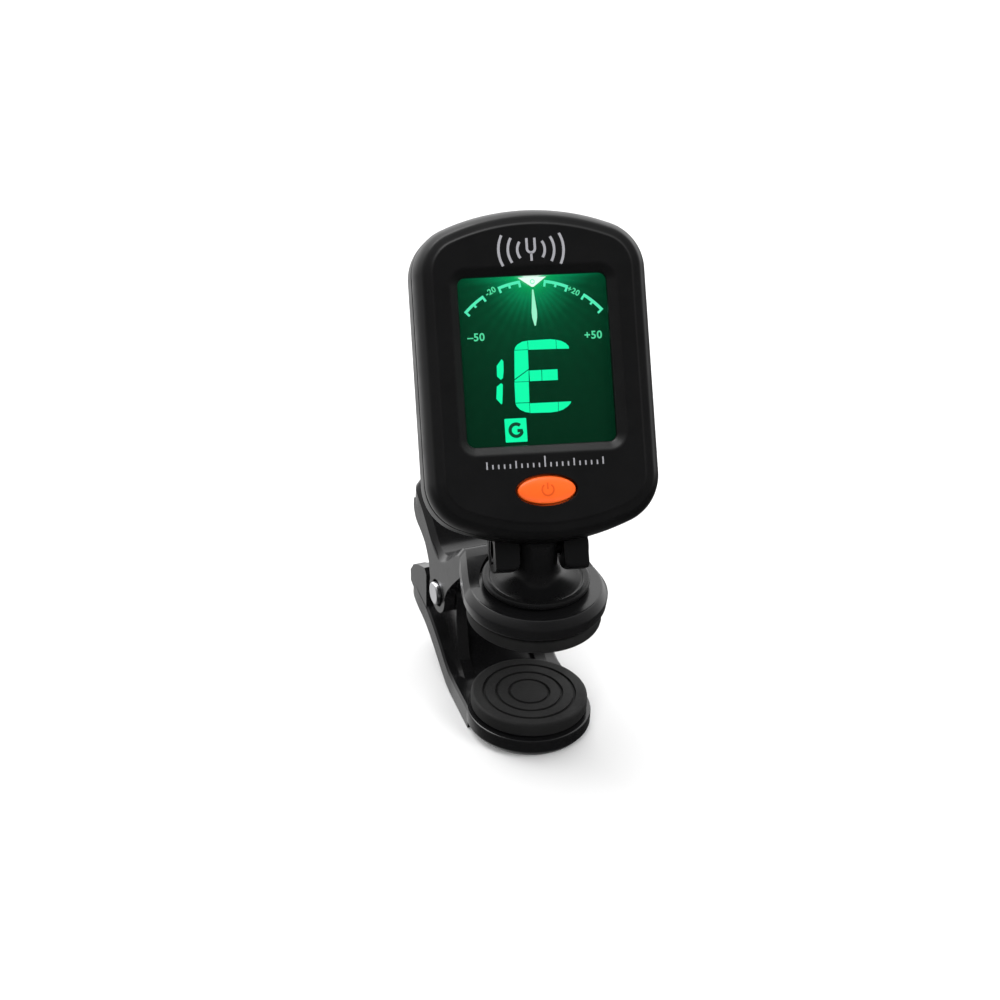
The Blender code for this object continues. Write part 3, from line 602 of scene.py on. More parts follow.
def level(depth):
    """The same depth everywhere, in the form that raised_strip takes."""
    return lambda x, z: depth


def flat_shape(outline, back=GRAPHIC_BACK, front=GRAPHIC_FRONT):
    moved = [(x + GRAPHIC_SHIFT[0], z + GRAPHIC_SHIFT[1]) for x, z in outline]
    return prism(moved, "Y", FACE_Y + front, FACE_Y + back)


def flat_strip(points, width, back=GRAPHIC_BACK, front=GRAPHIC_FRONT):
    moved = [(x + GRAPHIC_SHIFT[0], z + GRAPHIC_SHIFT[1]) for x, z in points]
    return raised_strip(moved, width, level(back), level(front))


def lcd_material():
    """Dark green panel with a glow that fans out from the in-tune lamp at its top edge."""
    mat, nodes, links, shader = new_material("lcd_panel")
    coords = nodes.new("ShaderNodeTexCoord").outputs["Object"]
    parts = nodes.new("ShaderNodeSeparateXYZ")
    links.new(coords, parts.inputs["Vector"])
    calc = functools.partial(maths, nodes, links)
    lamp_x, lamp_z = 0.25 * MM, 36.6 * MM
    dx = calc("SUBTRACT", parts.outputs["X"], lamp_x)
    dz = calc("SUBTRACT", lamp_z, parts.outputs["Z"])
    reach = calc("SQRT", calc("ADD", calc("MULTIPLY", dx, dx), calc("MULTIPLY", dz, dz)))

    def fade(distance, length):
        return calc("EXPONENT", calc("MULTIPLY", distance, -1 / (length * MM)))

    near, wide = fade(reach, 1.5), fade(reach, 5.0)
    ripple = calc("SINE", calc("MULTIPLY", calc("ARCTAN2", dx, dz), 41.0))
    rays = calc("ADD", calc("MULTIPLY", ripple, 0.09), 0.91)
    fan = calc("MULTIPLY", wide, rays)
    flare = calc("MULTIPLY", fade(dz, 0.8), fade(reach, 6.0))
    glow = calc("ADD", calc("ADD", calc("MULTIPLY", fan, 0.48), calc("MULTIPLY", near, 0.60)),
                calc("MULTIPLY", flare, 0.36), clamp=True)
    ramp = nodes.new("ShaderNodeValToRGB")
    stops = ramp.color_ramp.elements
    stops[0].position, stops[0].color = 0.0, (0.0002, 0.0140, 0.0058, 1.0)
    stops[1].position, stops[1].color = 1.0, (0.75, 1.0, 0.86, 1.0)
    for position, colour in ((0.12, (0.0004, 0.058, 0.022)), (0.30, (0.0015, 0.215, 0.080)),
                             (0.60, (0.002, 0.40, 0.110)), (0.82, (0.10, 0.66, 0.32))):
        stop = stops.new(position)
        stop.color = (*colour, 1.0)
    links.new(glow, ramp.inputs["Fac"])
    grain = noise(nodes, links, coords, 900, 3.0)
    dim = nodes.new("ShaderNodeMix")
    dim.data_type = "RGBA"
    dim.blend_type = "MULTIPLY"
    dim.inputs["Factor"].default_value = 1.0
    links.new(ramp.outputs["Color"], dim.inputs["A"])
    shade = spread(nodes, links, grain, 0.9, 1.06)
    links.new(shade, dim.inputs["B"])
    links.new(dim.outputs["Result"], shader.inputs["Emission Color"])
    shader.inputs["Emission Strength"].default_value = 1.0
    shader.inputs["Base Color"].default_value = (0.001, 0.01, 0.004, 1.0)
    shader.inputs["Roughness"].default_value = 0.35
    shader.inputs["Specular IOR Level"].default_value = 0.05
    return mat


def lens_material():
    mat, nodes, links, shader = new_material("clear_lens")
    coords = nodes.new("ShaderNodeTexCoord").outputs["Object"]
    gloss = noise(nodes, links, coords, 260, 5.0, 0.6)
    links.new(spread(nodes, links, gloss, 0.03, 0.09), shader.inputs["Roughness"])
    shader.inputs["Base Color"].default_value = (0.01, 0.02, 0.015, 1.0)
    shader.inputs["Alpha"].default_value = 0.03
    return mat


def make_display():
    glass = shape("display_panel", box((-12.0, 12.0), at_depth(2.8, 4.4), (10.3, 37.2)))
    soften(glass, 0.08, 2)
    piece(glass, HEAD, "head", lcd_material(), ["lcd_glass"])

    lens = shape("display_window", loft([
        [(x, FACE_Y + depth, z) for x, z in
         rounded_rectangle(11.7 - inset, 12.8 - inset, WINDOW_CENTRE_Z, 1.5 - inset)]
        for depth, inset in ((1.8, 0.12), (1.84, 0.04), (1.92, 0.0), (2.42, 0.0), (2.5, 0.06))]))
    piece(lens, HEAD, "head", lens_material(), ["display_lens"])

    # Note letter, in the cut segments of a display glyph
    big = [
        [(-2.85, 26.42), (-1.0, 26.42), (-1.0, 27.6), (-1.75, 27.5), (-2.4, 27.15), (-2.72, 26.8)],
        [(-0.92, 26.36), (2.92, 26.3), (2.92, 27.55), (2.2, 27.66), (-0.92, 27.62)],
        [(3.0, 26.3), (4.7, 26.25), (4.66, 26.6), (4.3, 27.0), (3.7, 27.35), (3.0, 27.54)],
        [(-2.87, 26.34), (-1.02, 26.34), (-1.08, 23.72), (-3.1, 22.42)],
        [(-3.12, 22.26), (-3.1, 22.06), (-1.16, 22.04), (-1.1, 23.58)],
        [(-1.0, 22.04), (0.62, 22.04), (0.66, 23.5), (-1.0, 23.5)],
        [(0.72, 22.04), (2.86, 22.02), (2.9, 23.5), (0.76, 23.5)],
        [(-3.15, 21.98), (-1.18, 21.96), (-1.28, 19.16), (-3.2, 19.18)],
        [(-3.2, 19.08), (-1.3, 19.06), (-1.32, 17.72), (-1.9, 17.85), (-2.6, 18.2), (-3.02, 18.65)],
        [(-1.22, 19.0), (2.68, 19.0), (2.62, 17.72), (1.6, 17.62), (-1.24, 17.68)],
        [(2.76, 19.0), (4.48, 19.0), (4.42, 18.75), (3.95, 18.3), (3.3, 17.92), (2.7, 17.76)],
    ]
    small = [
        [(-4.74, 25.22), (-4.5, 24.95), (-4.55, 23.6), (-4.72, 22.62), (-5.0, 22.42), (-5.5, 22.9),
         (-5.45, 24.35)],
        [(-5.02, 21.96), (-4.78, 21.76), (-4.9, 20.4), (-5.02, 19.2), (-5.16, 19.06), (-5.8, 19.85),
         (-5.62, 21.5)],
    ]
    lit_green = lit("segment_green", (0.0, 0.98, 0.41), 1.1)
    bright = lit("segment_bright", (0.36, 1.0, 0.66), 1.0)
    letter = join("note_letter", [flat_shape(points) for points in big])
    piece(letter, HEAD, "head", lit_green)
    digit = join("string_number", [flat_shape(points) for points in small])
    piece(digit, HEAD, "head", lit_green)

    # Instrument box with its letter left dark
    frame_box = flat_shape(rounded_rectangle(1.5, 1.62, 15.42, 0.12, 3))
    frame_box = shape("mode_box", frame_box)
    for vert in frame_box.data.vertices:
        vert.co.x -= 3.38
    piece(frame_box, HEAD, "head", lit_green)
    hook = arc((-3.36, 15.42), 0.84, 48, 338, 36)
    hook += [(-2.56, 15.34), (-3.2, 15.34)]
    dark = lit("segment_dark", (0.0, 0.05, 0.018), 0.8)
    letter_g = join("mode_letter", [flat_strip(hook, 0.46, GRAPHIC_FRONT - 0.005,
                                               GRAPHIC_FRONT - 0.04)])
    piece(letter_g, HEAD, "head", dark)

    # Needle and the lamp's triangle
    needle = join("tuning_needle", [flat_shape(
        [(0.12, 34.6), (0.3, 34.6), (0.42, 33.4), (0.6, 31.5), (0.56, 30.7), (0.32, 29.62),
         (0.16, 29.62), (-0.1, 30.7), (-0.14, 31.5), (0.02, 33.4)])])
    piece(needle, HEAD, "head", bright)
    lamp = join("in_tune_lamp", [flat_shape([(-1.75, 36.3), (2.15, 36.3), (0.36, 34.98),
                                             (0.1, 34.98)])])
    piece(lamp, HEAD, "head", lit("lamp_white", (0.80, 1.0, 0.90), 1.15))
    ring = join("in_tune_ring", [flat_strip(arc((0.22, 35.68), 0.28, 0, 350, 24), 0.08,
                                            GRAPHIC_FRONT - 0.004, GRAPHIC_FRONT - 0.03)])
    piece(ring, HEAD, "head", lit_green)

    # Cents scale: four arcs with ticks pointing inwards
    centre, radius, width = (0.0, 23.05), 12.75, 0.40
    parts = []
    for start, end, ticks in ((40.6, 55.8, (41.2, 48.6, 55.2)), (66.4, 81.8, (67.0, 74.2, 81.2)),
                              (96.6, 111.0, (97.2, 103.8, 110.4)),
                              (121.4, 137.0, (122.0, 129.4, 136.4))):
        parts.append(flat_strip(arc(centre, radius, start, end, 16), width))
        for number, angle in enumerate(ticks):
            turn = math.radians(angle)
            inner = radius - (0.55 if number == 1 else 0.72)
            parts.append(flat_strip([
                (centre[0] + r * math.cos(turn), centre[1] + r * math.sin(turn))
                for r in (radius - width / 2 - 0.01, inner)], 0.3))
    piece(join("cents_scale", parts), HEAD, "head", lit("scale_green", (0.10, 0.98, 0.55), 0.95))

    for name, words, x, z, size, lean in (
            ("cents_minus_50", "\u201350", -7.9, 28.5, 1.5, 0),
            ("cents_plus_50", "+50", 8.3, 28.1, 1.5, 0),
            ("cents_minus_20", "-20", -5.5, 34.72, 1.1, 28),
            ("cents_plus_20", "+20", 5.95, 34.3, 1.1, -29)):
        text = bpy.data.curves.new(name, "FONT")
        text.body = words
        text.size = size
        text.align_x = "CENTER"
        text.align_y = "CENTER"
        text.extrude = 0.02
        text.offset = 0.03
        text.space_character = 1.08
        text.resolution_u = 4
        label = bpy.data.objects.new(name, text)
        bpy.context.scene.collection.objects.link(label)
        bake_text(label, x, z, lean)
        piece(bpy.data.objects[name], HEAD, "head", lit(name + "_green", (0.10, 0.86, 0.42), 0.9))


def bake_text(label, x, z, lean):
    """Turn a text object into a mesh that lies on the display, facing out of it."""
    name = label.name
    mesh = bpy.data.meshes.new_from_object(
        label.evaluated_get(bpy.context.evaluated_depsgraph_get()))
    bpy.data.objects.remove(label, do_unlink=True)
    turn = Matrix.Rotation(math.radians(90), 4, "X") @ Matrix.Rotation(math.radians(lean), 4, "Z")
    mesh.transform(Matrix.Translation((x, FACE_Y + (GRAPHIC_FRONT + GRAPHIC_BACK) / 2, z)) @ turn)
    thing = bpy.data.objects.new(name, mesh)
    bpy.context.scene.collection.objects.link(thing)


def make_print():
    """Generic printed marks in place of the maker's: a tuning fork between sound waves, and a
    row of scale ticks."""
    back, front = level(0.04), level(-0.012)
    fork_z = 39.9
    prongs = [(-0.55, fork_z + 1.6), (-0.55, fork_z + 0.35)]
    prongs += arc((0.0, fork_z + 0.15), 0.55, 180, 360, 16) + [(0.55, fork_z + 0.35),
                                                              (0.55, fork_z + 1.6)]
    parts = [raised_strip(prongs, 0.34, back, front),
             raised_strip([(0.0, fork_z - 0.42), (0.0, fork_z - 1.55)], 0.34, back, front)]
    for number, radius in enumerate((1.9, 3.2, 4.5)):
        reach = 36 - 4 * number
        for middle in (0, 180):
            wave = arc((0.0, fork_z), radius, middle - reach, middle + reach, 20)
            parts.append(raised_strip(wave, 0.36, back, front))
    piece(join("printed_mark", parts), HEAD, "head", LOOKS["print"])
    ticks = []
    for number in range(-10, 11):
        height = 1.5 if number == 0 else (1.0 if number % 5 == 0 else 0.6)
        x = 0.8 * number
        ticks.append(raised_strip([(x, 10.15), (x, 10.15 + height)], 0.2, back, front))
    piece(join("printed_scale", ticks), HEAD, "head", LOOKS["print"])


# ---------------------------------------------------------------- swivel, arms, pads, spring

def make_post():
    top = TILT_AXIS_Z + NECK_RADIUS
    flare = eased([(6.75, 6.9), (6.55, 6.78), (6.38, 6.56), (6.1, 6.45), (5.4, 6.47), (4.6, 6.65),
                   (3.8, 7.0), (3.25, 7.5), (2.95, 8.2), (NECK_RADIUS, 9.0)], 4)
    post = shape("swivel_neck", turned(
        [(SWIVEL_BOSS_RADIUS, 4.0), (SWIVEL_BOSS_RADIUS, DISC_TOP + GAP),
         (6.9, DISC_TOP + GAP), (7.08, 5.84), (7.3, 5.98),
         (7.45, 6.2), (7.5, 6.45), (7.49, 6.62), (7.42, 6.76), (7.28, 6.86), (7.1, 6.9)]
        + flare + [(NECK_RADIUS, top)], segments=128))
    wide, collar = 9.0, TILT_AXIS_Z - 2.0
    carve(post, [
        ("keep", prism([(-wide, 0.0), (wide, 0.0), (wide, collar), (NECK_RADIUS, collar)]
                       + arc((0.0, TILT_AXIS_Z), NECK_RADIUS, 0, 180, 40)
                       + [(-NECK_RADIUS, collar), (-wide, collar)], "X", -wide, wide)),
        ("cut", rod(TILT_HOLE_RADIUS, "X", -6.0, 6.0, (0.0, TILT_AXIS_Z), 40)),
        ("cut", rod(SWIVEL_HOLE_RADIUS, "Z", 0.0, 8.6, segments=40))])
    return piece(post, SWIVEL, "swivel", LOOKS["yoke"], ["swivel_post"])


def plate(stations, chamfer_x, chamfer_z):
    rings = []
    for y, half, bottom, top in stations:
        right = [(half, bottom), (half, top - chamfer_z), (half - chamfer_x, top)]
        left = [(-x, z) for x, z in reversed(right)]
        rings.append([(x, y, z) for x, z in right + left])
    return loft(rings)


def make_upper_arm():
    arm = shape("upper_jaw_arm", turned([
        (9.5, DISC_BOTTOM), (9.8, DISC_BOTTOM + 0.2), (9.95, DISC_BOTTOM + 0.5),
        (DISC_RADIUS, DISC_SHOULDER - 0.12), (DISC_RADIUS, DISC_SHOULDER),
        (DISC_RADIUS - 0.08, DISC_SHOULDER + 0.14), (DISC_TOP_RADIUS + 0.1, DISC_TOP - 0.1),
        (DISC_TOP_RADIUS - 0.04, DISC_TOP - 0.02), (DISC_TOP_RADIUS - 0.2, DISC_TOP)],
        segments=160))
    stations = eased([(-1.0, 9.86, 2.9, 5.46), (1.0, 9.92, 2.9, 5.47), (2.6, 9.70, 2.95, 5.75),
                      (4.7, 9.15, 3.1, 6.45), (6.6, 8.6, 3.6, 7.05)], 3)
    stations += eased([
        (8.0, ARM_HALF_WIDTH, 3.9, 7.3), (8.8, ARM_HALF_WIDTH, 4.0, 7.12),
        (11.0, ARM_HALF_WIDTH, 2.6, 5.3), (13.2, ARM_HALF_WIDTH, 0.7, 3.1),
        (15.3, ARM_HALF_WIDTH, -0.5, 2.0), (17.5, ARM_HALF_WIDTH, -0.2, 2.4),
        (20.0, ARM_HALF_WIDTH, 1.6, 4.2), (22.6, ARM_HALF_WIDTH, 3.5, 6.1),
        (25.0, ARM_HALF_WIDTH, 4.6, 7.5), (26.2, 7.8, 4.5, 8.1), (27.0, 6.6, 4.2, 8.25)], 4)
    outline = [(7.0, 5.6), (7.2, 3.6)]
    outline += eased([(7.2, 3.6), (10.0, 0.5), (12.1, -2.1), (12.98, -4.0)], 4)[1:-1]
    outline += arc((PIVOT_Y, PIVOT_Z), PIVOT_BOSS_RADIUS, 165, 375, 30)
    outline += eased([(19.0, -2.9), (19.5, -1.6), (21.0, 0.2), (23.0, 1.3), (24.8, 2.0),
                      (25.9, 3.4), (26.0, 5.0)], 4)
    outline += [(22.6, 4.6), (20.0, 2.8), (15.3, 0.7), (11.0, 3.9)]
    steps = [("add", plate(stations, 0.8, 1.1))]
    for side in (-1, 1):
        span = sorted((side * CHEEK_INNER, side * (ARM_HALF_WIDTH - 0.02)))
        steps.append(("add", prism(outline, "X", *span)))
    steps += [("cut", rod(WELL_RADIUS, "Z", DISC_TOP, 12.0, segments=128)),
              ("cut", rod(SWIVEL_BOSS_RADIUS + GAP, "Z", 0.0, 8.0)),
              ("cut", rod(SWIVEL_WASHER_POCKET_RADIUS, "Z", 0.0, 4.0)),
              ("cut", rod(PIN_RADIUS + GAP, "X", -10.0, 10.0, (PIVOT_Y, PIVOT_Z), 40)),
              ("cut", rod(PIN_RECESS_RADIUS, "X", -10.0, PIN_HEAD_SEAT - ARM_HALF_WIDTH,
                          (PIVOT_Y, PIVOT_Z), 48))]
    carve(arm, steps)
    soften(arm, 0.16, 2, 34)
    return piece(arm, CLIP, "clip", LOOKS["arm"], ["upper_arm"])


def make_pads():
    pad = shape("upper_rubber_pad", turned(
        [(2.0, 0.0), (UPPER_PAD_RADIUS - 0.45, 0.0), (UPPER_PAD_RADIUS - 0.2, 0.07),
         (UPPER_PAD_RADIUS - 0.05, 0.22), (UPPER_PAD_RADIUS, 0.42), (UPPER_PAD_RADIUS, 1.7),
         (UPPER_PAD_RADIUS - 0.08, 1.88), (UPPER_PAD_RADIUS - 0.25, 1.98),
         (UPPER_PAD_RADIUS - 0.4, PAD_THICKNESS)], segments=128))
    grooves = [("cut", turned([(r - 0.25, -0.5), (r + 0.25, -0.5), (r + 0.18, 0.3),
                               (r - 0.18, 0.3)], segments=96, ring=True)) for r in (3.2, 5.2, 7.2)]
    carve(pad, [("cut", rod(3.3, "Z", 1.1, 3.0, segments=48))] + grooves)
    piece(pad, CLIP, "clip", LOOKS["rubber"], ["upper_pad"])

    face, centre = -JAW_GAP - PIVOT_Z, (0.0, -PIVOT_Y)
    pad = shape("lower_rubber_pad", turned(
        [(LOWER_PAD_RADIUS - 0.3, face - PAD_THICKNESS), (LOWER_PAD_RADIUS - 0.1, face - 1.92),
         (LOWER_PAD_RADIUS, face - 1.7), (LOWER_PAD_RADIUS, face - 0.42),
         (LOWER_PAD_RADIUS - 0.05, face - 0.22), (LOWER_PAD_RADIUS - 0.2, face - 0.07),
         (LOWER_PAD_RADIUS - 0.45, face), (2.0, face)], "Z", centre, 112))
    carve(pad, [("cut", turned([(r - 0.25, face + 0.5), (r + 0.25, face + 0.5),
                                (r + 0.18, face - 0.3), (r - 0.18, face - 0.3)],
                               "Z", centre, 96, ring=True)) for r in (2.8, 4.6, 6.4)])
    piece(pad, JAW, "jaw", LOOKS["rubber"], ["lower_pad"])


def make_lower_arm():
    def place(y, z):
        return y - PIVOT_Y, z - PIVOT_Z

    top = place(0, -JAW_GAP - PAD_THICKNESS - GAP)[1]
    arm = shape("lower_jaw_arm", turned([
        (LOWER_DISC_RADIUS - 1.2, top - 3.0), (LOWER_DISC_RADIUS - 0.85, top - 2.95),
        (LOWER_DISC_RADIUS - 0.1, top - 2.05), (LOWER_DISC_RADIUS, top - 1.8),
        (LOWER_DISC_RADIUS, top - 0.35), (LOWER_DISC_RADIUS - 0.06, top - 0.12),
        (LOWER_DISC_RADIUS - 0.25, top)], "Z", (0.0, -PIVOT_Y), 128))
    stations = eased([
        (1.2, 8.65, -18.25, -15.32), (8.0, 8.2, -18.1, -15.3), (11.0, 8.2, -17.3, -14.5),
        (14.0, 8.2, -15.6, -12.6), (17.0, 8.2, -13.8, -10.9), (20.0, 8.2, -12.4, -9.6),
        (23.0, 8.2, -11.6, -8.9), (25.2, 8.0, -10.9, -8.3), (26.4, 7.2, -10.2, -8.0),
        (26.9, 6.2, -9.6, -8.0)], 3)
    stations = [(place(y, 0)[0], half, place(0, low)[1], place(0, high)[1])
                for y, half, low, high in stations]
    steps = [("add", plate(stations, 0.3, 0.3))]
    cheek = [place(*point) for point in ((7.0, -16.5), (11.0, -13.2), (12.7, -8.0))]
    cheek += arc((0.0, 0.0), PIVOT_BOSS_RADIUS, 190, 10, 28)
    cheek += [place(*point) for point in ((19.2, -6.5), (20.5, -9.0), (19.0, -11.5), (12.0, -16.0))]
    flange = [place(*point) for point in ((19.6, -10.5), (20.2, -4.6), (21.0, -3.9), (23.4, -4.9),
                                          (25.2, -6.0), (26.2, -7.5), (26.0, -9.2), (23.0, -10.4))]
    for side in (-1, 1):
        steps.append(("add", prism(cheek, "X", *sorted((side * LOWER_CHEEK_INNER,
                                                        side * LOWER_CHEEK_OUTER)))))
        steps.append(("add", prism(flange, "X", *sorted((side * 6.5, side * 8.15)))))
    steps.append(("cut", rod(PIN_RADIUS + GAP, "X", -10.0, 10.0, segments=40)))
    carve(arm, steps)
    soften(arm, 0.14, 2, 34)
    return piece(arm, JAW, "jaw", LOOKS["arm"], ["lower_arm"])


def make_pivot():
    centre, outer = (PIVOT_Y, PIVOT_Z), ARM_HALF_WIDTH + GAP
    head = PIN_HEAD_SEAT - GAP - ARM_HALF_WIDTH
    pin = shape("hinge_pin", turned([
        (PIN_HEAD_RADIUS - 0.3, head - 1.0), (PIN_HEAD_RADIUS - 0.12, head - 0.95),
        (PIN_HEAD_RADIUS - 0.03, head - 0.84), (PIN_HEAD_RADIUS, head - 0.7),
        (PIN_HEAD_RADIUS, head), (PIN_RADIUS, head), (PIN_RADIUS, outer + 0.8),
        (1.1, outer + 1.05), (0.8, outer + 1.2)], "X", centre, 64))
    piece(pin, CLIP, "clip", LOOKS["steel"], ["pivot_pin"])
    cap = shape("hinge_pin_cap", turned([
        (PIN_RADIUS + 0.2, outer), (2.1, outer), (2.1, outer + 0.3), (2.0, outer + 0.5),
        (1.75, outer + 0.7), (PIN_RADIUS + 0.2, outer + 0.8)], "X", centre, 64, ring=True))
    piece(cap, CLIP, "clip", LOOKS["steel"], ["pin_cap"])


def make_spring():
    def point(x, radius, angle):
        turn = math.radians(angle)
        return (x, PIVOT_Y + radius * math.cos(turn), PIVOT_Z + radius * math.sin(turn))

    start, sweep = 120.0, -(COIL_TURNS * 360.0 + 60.0)
    steps = COIL_TURNS * 40
    coil = [point(-COIL_HALF_LENGTH + 2 * COIL_HALF_LENGTH * i / steps, COIL_RADIUS,
                  start + sweep * i / steps) for i in range(steps + 1)]
    upper_leg = [(-COIL_HALF_LENGTH, 22.4, 2.4), (-COIL_HALF_LENGTH, 19.0, -0.1)]
    lower_leg = [(COIL_HALF_LENGTH, 18.2, -7.3), (COIL_HALF_LENGTH, 22.6, -7.9)]
    spring = shape("closing_spring", swept_wire(upper_leg + coil + lower_leg, WIRE_RADIUS))
    spring.data.transform(Matrix.Scale(MM, 4))
    spring.data.shade_smooth()
    spring.data.set_sharp_from_angle(angle=math.radians(50))
    spring.data.materials.append(LOOKS["wire"])
    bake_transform(spring)
    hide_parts("torsion_spring")


# ---------------------------------------------------------------- CAD nodes that stay as they are

def dress_frame():
    looks = {
        "white": surface("holder_white", (0.66, 0.66, 0.63), (0.74, 0.74, 0.71), 0.5),
        "guide": surface("guide_plastic", (0.45, 0.75, 0.52), (0.55, 0.85, 0.6), 0.2),
        "lamp": lit("lamp_resin", (0.55, 1.0, 0.6), 1.5),
        "zebra": surface("zebra_rubber", (0.05, 0.05, 0.05), (0.16, 0.16, 0.16), 0.7, patch=2500),
        "board": surface("board_mask", (0.006, 0.075, 0.028), (0.012, 0.12, 0.045), 0.42,
                         patch=500),
        "brass": surface("piezo_brass", (0.62, 0.43, 0.14), (0.74, 0.54, 0.2), 0.3, metallic=1.0),
        "ceramic": surface("piezo_ceramic", (0.72, 0.70, 0.62), (0.82, 0.80, 0.72), 0.5),
        "red": surface("red_insulation", (0.42, 0.015, 0.015), (0.5, 0.025, 0.02), 0.45),
        "chip": surface("chip_resin", (0.012, 0.012, 0.013), (0.02, 0.02, 0.021), 0.6),
        "nickel": surface("cell_nickel", (0.26, 0.26, 0.27), (0.32, 0.32, 0.33), 0.34,
                          metallic=1.0),
        "steel": LOOKS["steel"],
        "dark_steel": LOOKS["dark_steel"],
    }
    dress = {
        "white": ("lcd_holder",), "guide": ("light_guide",), "zebra": ("zebra_connector",),
        "lamp": ("backlight_led_left", "backlight_led_right"), "board": ("circuit_board",),
        "brass": ("piezo_disc",), "ceramic": ("piezo_ceramic",), "red": ("piezo_wire_red",),
        "nickel": ("coin_cell",), "chip": ("piezo_wire_black", "tuner_chip", "switch_plunger"),
        "dark_steel": ("tilt_screw", "tilt_washer", "tilt_nut", "swivel_screw", "swivel_washer"),
    }
    look_of = {name: look for look, names in dress.items() for name in names}
    for name, node in frame["nodes"].items():
        if node.hide_render:
            continue
        node.data.materials.clear()
        node.data.materials.append(looks[look_of.get(name, "steel")])


# ---------------------------------------------------------------- floor, light and camera

FLOOR_HALF_SIZE, FLOOR_THICKNESS, FLOOR_CLEARANCE = 3000.0, 5.0, 0.05
ROOM_STRENGTH = 2.1
# Level of the room's light from in front (0) to behind (1)
ROOM_LEVELS = ((0.20, 0.055), (0.36, 0.18), (0.50, 0.40), (0.66, 0.80))
# Name, place in metres, the point it faces, watts, size, seen in reflections or not
LIGHTS = (
    ("key", (-0.2, 0.55, 0.9), (0, 0, 0.02), 6.0, (0.8, 0.6), True),
    ("fill_right", (0.42, -0.60, 0.66), (0, 0, 0.03), 4.4, (0.4, 0.4), False),
    ("fill_left", (-0.46, -0.62, 0.64), (0, 0, 0.03), 4.4, (0.4, 0.4), False),
)
CAMERA_AZIMUTH, CAMERA_ELEVATION, CAMERA_ROLL = -23.3, 33.3, -3.06
CAMERA_DISTANCE, CAMERA_AIM_RIGHT, CAMERA_AIM_UP, CAMERA_LENS = 620.0, -5.2, 6.5, 162.0

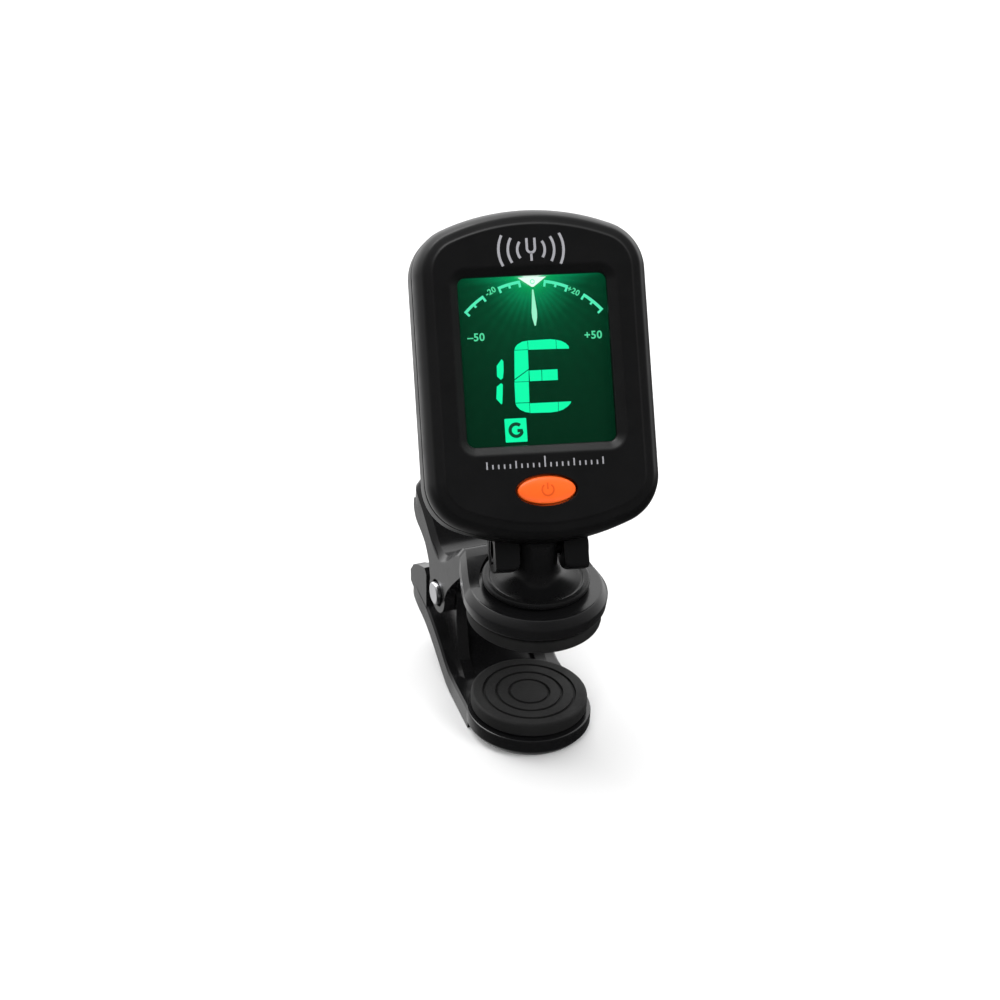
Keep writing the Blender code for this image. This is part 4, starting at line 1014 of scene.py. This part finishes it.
def make_stage():
    mat, nodes, links, shader = new_material("pale_floor")
    coords = nodes.new("ShaderNodeTexCoord").outputs["Object"]
    tone = noise(nodes, links, coords, 6, 2.0)
    links.new(blend_colours(nodes, links, tone, (0.74, 0.74, 0.74), (0.77, 0.77, 0.77)),
              shader.inputs["Base Color"])
    shader.inputs["Roughness"].default_value = 0.6
    shader.inputs["Specular IOR Level"].default_value = 0.3
    floor_z = cad_low[2] / MM - FLOOR_CLEARANCE
    size = FLOOR_HALF_SIZE
    floor = shape("studio_floor", loft([
        [(-size, -size, z), (size, -size, z), (size, size, z), (-size, size, z)]
        for z in (floor_z - FLOOR_THICKNESS, floor_z)]))
    floor.data.transform(Matrix.Scale(MM, 4))
    floor.data.materials.append(mat)
    floor.visible_glossy = False

    world = bpy.data.worlds.new("studio")
    bpy.context.scene.world = world
    world.use_nodes = True
    nodes, links = world.node_tree.nodes, world.node_tree.links
    coords = nodes.new("ShaderNodeTexCoord").outputs["Generated"]
    parts = nodes.new("ShaderNodeSeparateXYZ")
    links.new(coords, parts.inputs["Vector"])
    ramp = nodes.new("ShaderNodeValToRGB")
    stops = ramp.color_ramp.elements
    stops[0].position, stops[0].color = 0.0, (0.05, 0.05, 0.05, 1.0)
    stops[1].position, stops[1].color = 1.0, (1.0, 1.0, 1.0, 1.0)
    for position, grey in ROOM_LEVELS:
        stops.new(position).color = (grey, grey, grey, 1.0)
    half = nodes.new("ShaderNodeMapRange")
    half.inputs["From Min"].default_value = -1.0
    links.new(parts.outputs["Y"], half.inputs["Value"])
    links.new(half.outputs["Result"], ramp.inputs["Fac"])
    links.new(ramp.outputs["Color"], nodes["Background"].inputs["Color"])

    calc = functools.partial(maths, nodes, links)
    # The room is dark on the far left, and under the horizon except behind and to the left
    left = spread(nodes, links, parts.outputs["X"], 0.35, 1.0, -0.9, -0.5)
    behind = spread(nodes, links, parts.outputs["Y"], 0.12, 0.48, 0.4, 0.9)
    aside = spread(nodes, links, parts.outputs["X"], 1.0, 0.2, 0.0, 0.5)
    loss = calc("SUBTRACT", 1.0, calc("MULTIPLY", behind, aside))
    under = spread(nodes, links, parts.outputs["Z"], 1.0, 0.0, -0.35, -0.05)
    share = calc("SUBTRACT", 1.0, calc("MULTIPLY", under, loss))
    strength = calc("MULTIPLY", calc("MULTIPLY", share, left), ROOM_STRENGTH)
    links.new(strength, nodes["Background"].inputs["Strength"])


def area_light(name, place, target, energy, size, glossy):
    light = bpy.data.lights.new(name, "AREA")
    light.energy = energy
    light.shape, light.size, light.size_y = "RECTANGLE", size[0], size[1]
    thing = bpy.data.objects.new(name, light)
    bpy.context.scene.collection.objects.link(thing)
    thing.visible_glossy = glossy
    thing.location = place
    thing.rotation_euler = (Vector(target) - Vector(place)).to_track_quat("-Z", "Y").to_euler()


def make_camera():
    azimuth, elevation, roll = (math.radians(angle) for angle in (
        CAMERA_AZIMUTH, CAMERA_ELEVATION, CAMERA_ROLL))
    towards = Vector((math.sin(azimuth) * math.cos(elevation),
                      -math.cos(azimuth) * math.cos(elevation), math.sin(elevation)))
    level = Vector((math.cos(azimuth), math.sin(azimuth), 0.0))
    upward = towards.cross(level)
    right = level * math.cos(roll) - upward * math.sin(roll)
    up = level * math.sin(roll) + upward * math.cos(roll)
    aim = Vector((0.0, 0.0, TILT_AXIS_Z)) + right * CAMERA_AIM_RIGHT + up * CAMERA_AIM_UP
    camera = bpy.data.cameras.new("camera")
    camera.sensor_width = 36.0
    camera.lens = CAMERA_LENS
    camera.clip_start = 0.01
    thing = bpy.data.objects.new("camera", camera)
    bpy.context.scene.collection.objects.link(thing)
    thing.matrix_world = axes_frame((aim + towards * CAMERA_DISTANCE) * MM, right, up, towards)
    bpy.context.scene.camera = thing


make_front_shell()
make_rear_shell()
make_battery_cover()
make_button()
make_power_icon()
make_display()
make_print()
make_post()
make_upper_arm()
make_pads()
make_lower_arm()
make_pivot()
make_spring()
dress_frame()
make_stage()
for light in LIGHTS:
    area_light(*light)
make_camera()
bpy.context.scene.view_settings.view_transform = "Standard"
